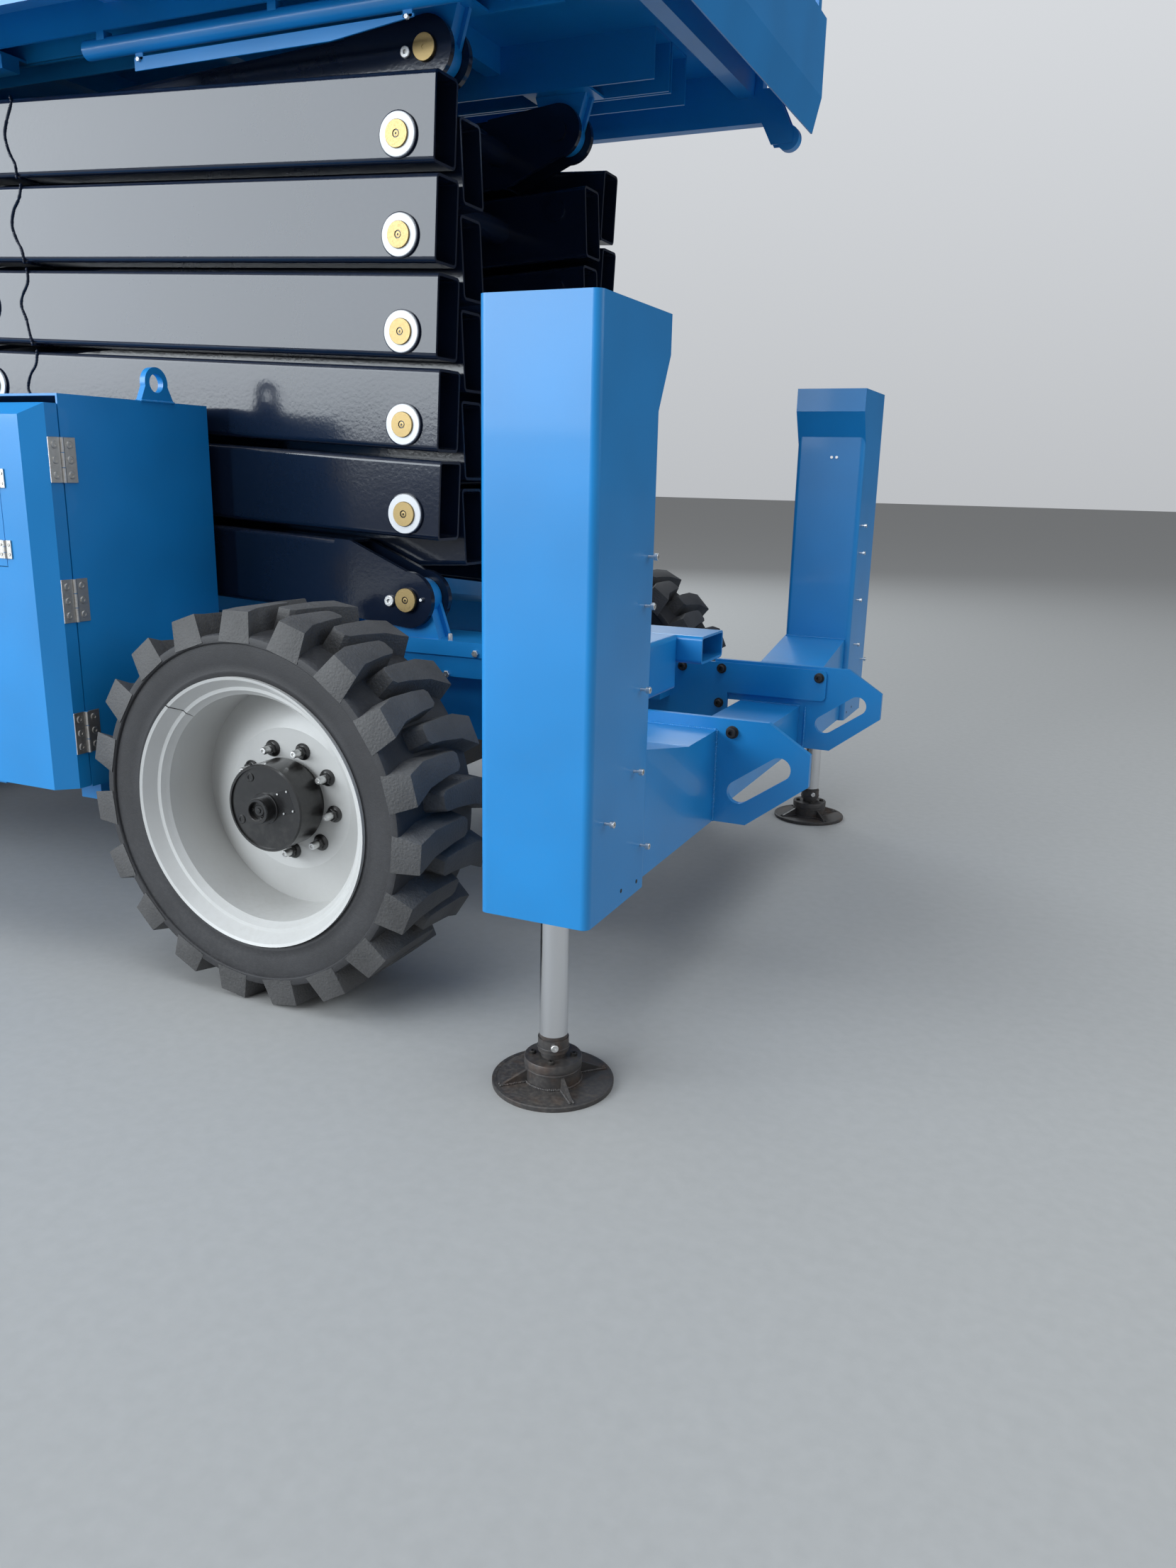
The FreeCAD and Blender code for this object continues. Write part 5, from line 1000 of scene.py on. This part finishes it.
def makeCoverScrews(setup):
    shanks, holes, hoods = [], [], []
    for endSign in ends.values():
        for flank in sides.values():
            outwards = (endSign, 0, 0)
            shanks += [((endSign * setup["face"], flank * -y, z), outwards) for y, z in setup["near"]]
            holes += [((endSign * (setup["face"] - 0.0001), flank * -y, z), outwards) for y, z in setup["holes"]]
            hoods += [((endSign * x, flank * 1.1298, z - 0.03), (0, -flank, 0)) for x, z in setup["hood"]]
    fasteners("coverShanks", "chassis", "chrome", shanks, zinc, Head_Radius=0.0036, Head_Height=0.016, Sides=12,
              Chamfer=0.0004, Socket_Ratio=0.6, Socket_Depth=0.0001)
    fasteners("coverScrews", "chassis", "chrome", shanks, zinc, Head_Radius=0.0078, Head_Height=0.0095, Sides=20,
              Chamfer=0.0008, Socket_Ratio=0.52, Socket_Depth=0.004, Stand_Off=0.0145)
    # painted shade: near-flush black discs stand for the holes
    fasteners("coverHoles", "chassis", "dark_steel", holes, blackBolt, Head_Radius=0.0052, Head_Height=0.0006,
              Sides=16, Chamfer=0.0002, Socket_Ratio=0.8, Socket_Depth=0.0004)
    fasteners("hoodScrews", "chassis", "chrome", hoods, zinc, Head_Radius=0.0060, Head_Height=0.004, Sides=16,
              Chamfer=0.001, Socket_Ratio=0.5, Socket_Depth=0.002)


frameBolts = {
    "plate": ((2.313, 0.762), (2.308, 0.631), (2.157, 0.759), (2.063, 0.700)),
    "plateFace": 0.5098,
    "tow": ((2.684, 0.758),),
    "towFace": 0.5422,
}


def makeFrameBolts(setup):
    washers, heads = [], []
    for endSign in ends.values():
        for flank in sides.values():
            inside = (0, -flank, 0)
            for x, z in setup["plate"] + setup["tow"]:
                spot = Vector((endSign * x, flank * setup["plateFace"], z))
                washers.append((spot, inside))
                heads.append((spot + Vector((0, -flank * 0.003, 0)), inside))
            for x, z in setup["tow"]:
                spot = Vector((endSign * x, flank * setup["towFace"], z))
                washers.append((spot, (0, flank, 0)))
                heads.append((spot + Vector((0, flank * 0.003, 0)), (0, flank, 0)))
    fasteners("frameWashers", "chassis", "dark_steel", washers, blackBolt, Head_Radius=0.0185,
              Head_Height=0.0032, Sides=32, Chamfer=0.0006, Socket_Ratio=0.75, Socket_Depth=0.0001)
    fasteners("frameBolts", "chassis", "dark_steel", heads, blackBolt, Head_Radius=0.0140, Head_Height=0.015,
              Sides=28, Chamfer=0.0014, Socket_Ratio=0.55, Socket_Depth=0.008)


beamFittings = {
    "nipples": ((1.590, 0.969), (1.800, 0.967)),
    "sideBolts": ((1.896, 0.928), (1.791, 0.807 + 0.05)),
    "side": 0.6204,
}


def makeBeamFittings(setup):
    nipples, bolts = [], []
    for endSign in ends.values():
        for flank in sides.values():
            for x, z in setup["nipples"]:
                nipples.append(((endSign * x, flank * 0.606, 0.9598), (0, 0, 1)))
            for x, z in setup["sideBolts"]:
                bolts.append(((endSign * x, flank * (0.6204 if z > 0.915 else 0.6124), z), (0, flank, 0)))
    fasteners("beamNipples", "chassis", "chrome", nipples, zinc, Head_Radius=0.0075, Head_Height=0.020, Sides=14,
              Chamfer=0.008, Socket_Ratio=0.45, Socket_Depth=0.001)
    fasteners("beamBolts", "chassis", "chrome", bolts, zinc, Head_Radius=0.011, Head_Height=0.008, Sides=6,
              Chamfer=0.001, Socket_Ratio=0.4, Socket_Depth=0.0005)


makeCoverScrews(coverScrews)
makeFrameBolts(frameBolts)
makeBeamFittings(beamFittings)
print("frame fittings done")


# Weld beads where the outrigger arms meet the tow plates and posts, and round the lifting lugs

def makeFrameWelds():
    lines = []
    for endSign in ends.values():
        for flank in sides.values():
            y = flank * 0.5425
            front = endSign * 2.6385
            lines.append([(endSign * (2.285 + 0.02), y, 0.7605), (endSign * 2.634, y, 0.7605)])
            lines.append([(front, y, 0.756), (front, y, 0.494)])
            lines.append([(endSign * 2.395, flank * 1.1295, 0.8225), (endSign * 2.634, flank * 1.1295, 0.8225)])
            lines.append([(endSign * 2.392, flank * 0.5215, 0.6465), (endSign * 2.612, flank * 0.5215, 0.6465)])
            lines.append([(endSign * 2.6385, flank * 0.52, 0.492), (endSign * 2.6385, flank * 0.52, 0.642)])
            lines.append([(endSign * 2.105, flank * 0.5225, 0.645), (endSign * 2.105, flank * 0.5225, 0.78)])
    for flank in sides.values():
        for x in (0.953, 0.973):
            lines.append([(x, flank * 0.822, 1.6362), (x, flank * 0.948, 1.6362)])
    welds("frameWelds", "chassis", "blue_paint", lines, blue, Spacing=0.0055, Width=0.0055, Height=0.0045, Seed=11)
    print("frame welds done")


makeFrameWelds()


# Jack feet: split clamp ring with bolts, retaining bolt in the collar, weld beads round cup and gussets

def makeFeet():
    for end, endSign in ends.items():
        for side, flank in sides.items():
            x, y = endSign * 2.502, flank * 1.307
            body = "jack_%s_%s" % (end, side)
            part = bmesh.new()
            addPart(part, turned(((0.0700, 0.0), (0.0712, 0.0008), (0.0712, 0.0185), (0.0700, 0.0205),
                                  (0.0330, 0.0205), (0.0320, 0.0190)), (x, y, 0.0532), (0, 0, 1), 48))
            addPart(part, turned(((0.0695, 0.0), (0.0705, 0.0010), (0.0705, 0.0050), (0.0690, 0.0065)),
                                 (x, y, 0.0435), (0, 0, 1), 48))
            addPart(part, turned(((0.0385, 0.0), (0.0398, 0.0015), (0.0398, 0.0055), (0.0385, 0.0070)),
                                 (x, y, 0.0955), (0, 0, 1), 40))
            addPart(part, turned(((0.1485, 0.0), (0.1508, 0.0025), (0.1508, 0.0110), (0.1488, 0.0128),
                                  (0.1400, 0.0128)), (x, y, 0.0), (0, 0, 1), 72))
            makePiece("footRings_%s_%s" % (end, side), part, body, [footSteel])
            heads, collar = [], []
            for degrees in (20, 110, 200, 290):
                angle = math.radians(degrees)
                heads.append(((x + 0.051 * math.cos(angle), y + 0.051 * math.sin(angle), 0.0735), (0, 0, 1)))
            for degrees in (-60, 120):
                angle = math.radians(degrees)
                out = Vector((math.cos(angle), math.sin(angle), 0))
                collar.append((Vector((x, y, 0.110)) + out * 0.0375, out))
            fasteners("clampBolts_%s_%s" % (end, side), body, "dark_steel", heads, blackBolt, Head_Radius=0.0085,
                      Head_Height=0.008, Sides=16, Chamfer=0.001, Socket_Ratio=0.5, Socket_Depth=0.004)
            fasteners("collarBolts_%s_%s" % (end, side), body, "chrome", collar, zinc, Head_Radius=0.0095,
                      Head_Height=0.009, Sides=16, Chamfer=0.0012, Socket_Ratio=0.5, Socket_Depth=0.004)
            lines = []
            for quarter in range(4):
                angle = math.radians(45 + 90 * quarter)
                out = Vector((math.cos(angle), math.sin(angle), 0))
                across = Vector((-out.y, out.x, 0)) * 0.0045
                for shift in (across, -across):
                    base = Vector((x, y, 0)) + shift
                    lines.append([base + out * 0.072 + Vector((0, 0, 0.0132)),
                                  base + out * 0.136 + Vector((0, 0, 0.0132))])
            circle = [(x + 0.0705 * math.cos(math.radians(a)), y + 0.0705 * math.sin(math.radians(a)), 0.0132)
                      for a in range(0, 361, 10)]
            lines.append(circle)
            welds("footWelds_%s_%s" % (end, side), body, "dark_steel", lines, footSteel, Spacing=0.0045,
                  Width=0.004, Height=0.004, Seed=5)
    print("feet done")


makeFeet()


# A flat strip on two bolts under the deck's side tube, and a plug in the tube's end

tubeStrip = {
    "x": (0.725, 1.715),
    "cutFrom": 1.440,           # the far end is cut slantwise, clear of the top arm's nose plate
    "tip": 0.008,
    "y": -0.6200,
    "z": (2.6050, 2.6420),
    "thickness": 0.006,
    "bolts": (0.745, 1.695),
    "tubeEnd": 0.540,
    "tubeRadius": 0.028,
    "tubeZ": 2.680,
}


def makeTubeStrip(setup):
    part = bmesh.new()
    (x0, x1), (z0, z1) = setup["x"], setup["z"]
    y = setup["y"] + setup["thickness"] / 2
    outline = [(x0, z0), (setup["cutFrom"], z0), (x1, z1 - setup["tip"]), (x1, z1), (x0, z1)]
    addPart(part, slab(outline, (0, y, 0), (1, 0, 0), (0, 0, 1), setup["thickness"], 0.0008, 1))
    for x in setup["bolts"]:
        addPart(part, slab(rectangle(0.030, 0.030), (x, y, setup["tubeZ"] - setup["tubeRadius"] - 0.004),
                           (1, 0, 0), (0, 0, 1), setup["thickness"], 0.0008, 1))
    makePiece("tubeStrip", part, "platform", [blue])
    heads = [((x, setup["y"] - 0.0025, z1 - 0.008), (0, -1, 0)) for x in setup["bolts"]]
    heads.append(((setup["tubeEnd"] + 0.0005, setup["y"], setup["tubeZ"]), (-1, 0, 0)))
    fasteners("tubeStripBolts", "platform", "chrome", heads, zinc, Head_Radius=0.0075, Head_Height=0.009, Sides=6,
              Chamfer=0.001, Socket_Ratio=0.4, Socket_Depth=0.0005)
    print("tube strip done")


makeTubeStrip(tubeStrip)


# The camera stands where the photographer stood, solved from the arms' parallel edges
cameraSetup = {
    "place": (3.6153, -3.6382, 1.4536),
    "turn": 23.9495,            # degrees left of the +Y direction
    "tilt": 14.9503,            # degrees below the horizon
    "roll": 1.2541,
    "focal": 1631.2452,         # pixels of the photograph
    "imageHeight": 2212,
    "sensor": 36.0,
}


def makeCamera(setup):
    turn, tilt, roll = (math.radians(setup[key]) for key in ("turn", "tilt", "roll"))
    forward = Vector((-math.sin(turn) * math.cos(tilt), math.cos(turn) * math.cos(tilt), -math.sin(tilt)))
    right = Vector((math.cos(turn), math.sin(turn), 0))
    up = right.cross(forward)
    rolledRight = math.cos(roll) * right + math.sin(roll) * up
    rolledUp = math.cos(roll) * up - math.sin(roll) * right
    data = bpy.data.cameras.new("camera")
    data.sensor_width = setup["sensor"]
    data.lens = setup["focal"] * setup["sensor"] / setup["imageHeight"]
    camera = bpy.data.objects.new("camera", data)
    bpy.context.scene.collection.objects.link(camera)
    camera.matrix_world = Matrix.Translation(setup["place"]) @ Matrix(
        (rolledRight, rolledUp, -forward)).transposed().to_4x4()
    bpy.context.scene.camera = camera


studio = {
    "floorSize": 160.0,
    "floorColour": (0.40, 0.40, 0.395, 1),
    "skyStrength": 0.42,
    "skyShown": 0.92,           # to the camera
    "skyMirrored": 0.85,        # in reflections, towards -Y
    "skyBehind": 0.12,          # in reflections, towards +Y
    "lampColour": (0.88, 0.95, 1.0),
    "lamps": (
        # name, place, aim, width, height, watts
        ("openSky", (-6.5, -11.5, 5.6), (0.0, -0.6, 1.6), 13.0, 7.5, 2300),
        ("overhead", (2.5, -3.0, 11.0), (0.5, -0.5, 0.0), 7.0, 7.0, 480),
        ("frontFill", (10.0, 2.5, 4.5), (1.0, 0, 1.4), 6.0, 4.0, 150),
        ("backLamp", (-5.0, 10.0, 7.0), (0, 0, 1.6), 8.0, 5.0, 650),
    ),
}


def makeStudio(setup):
    bpy.ops.mesh.primitive_plane_add(size=setup["floorSize"])
    floor = bpy.context.object
    floor.name = "floor"
    material, tree, shader = newMaterial("floorPaint", 0.8)
    shade = rangeOf(tree, noiseAt(tree, 30.0, 6.0), 0.3, 0.7, 0.97, 1.03)
    tree.links.new(mixColour(tree, 1.0, setup["floorColour"], shade, "MULTIPLY"), shader.inputs["Base Color"])
    floor.data.materials.append(material)
    world = bpy.data.worlds.new("studioSky")
    world.use_nodes = True
    bpy.context.scene.world = world
    tree = world.node_tree
    background = tree.nodes["Background"]
    path = tree.nodes.new("ShaderNodeLightPath")
    coordinates = tree.nodes.new("ShaderNodeTexCoord")
    split = tree.nodes.new("ShaderNodeSeparateXYZ")
    tree.links.new(coordinates.outputs["Generated"], split.inputs[0])
    glow = rangeOf(tree, split.outputs["Z"], -0.1, 0.7, 0.55, 1.0)
    tree.links.new(mixColour(tree, 1.0, (0.93, 0.96, 1.0, 1), glow, "MULTIPLY"), background.inputs["Color"])
    behind = rangeOf(tree, split.outputs["Y"], -0.3, 0.4, setup["skyMirrored"], setup["skyBehind"])
    lit = tree.nodes.new("ShaderNodeMix")
    seen = tree.nodes.new("ShaderNodeMix")
    lit.inputs[2].default_value = setup["skyStrength"]
    seen.inputs[3].default_value = setup["skyShown"]
    tree.links.new(path.outputs["Is Glossy Ray"], lit.inputs[0])
    tree.links.new(behind, lit.inputs[3])
    tree.links.new(path.outputs["Is Camera Ray"], seen.inputs[0])
    tree.links.new(lit.outputs[0], seen.inputs[2])
    tree.links.new(seen.outputs[0], background.inputs["Strength"])
    for name, spot, aim, width, height, watts in setup["lamps"]:
        data = bpy.data.lights.new(name, "AREA")
        data.shape = "RECTANGLE"
        data.size = width
        data.size_y = height
        data.energy = watts
        data.color = setup["lampColour"]
        lamp = bpy.data.objects.new(name, data)
        bpy.context.scene.collection.objects.link(lamp)
        lamp.location = spot
        lamp.rotation_euler = (Vector(aim) - Vector(spot)).to_track_quat("-Z", "Y").to_euler()


makeCamera(cameraSetup)
makeStudio(studio)
bpy.context.scene.view_settings.view_transform = "Standard"
print("camera and studio ready")

for shape in trash:
    bpy.data.objects.remove(shape)
print("scene complete")
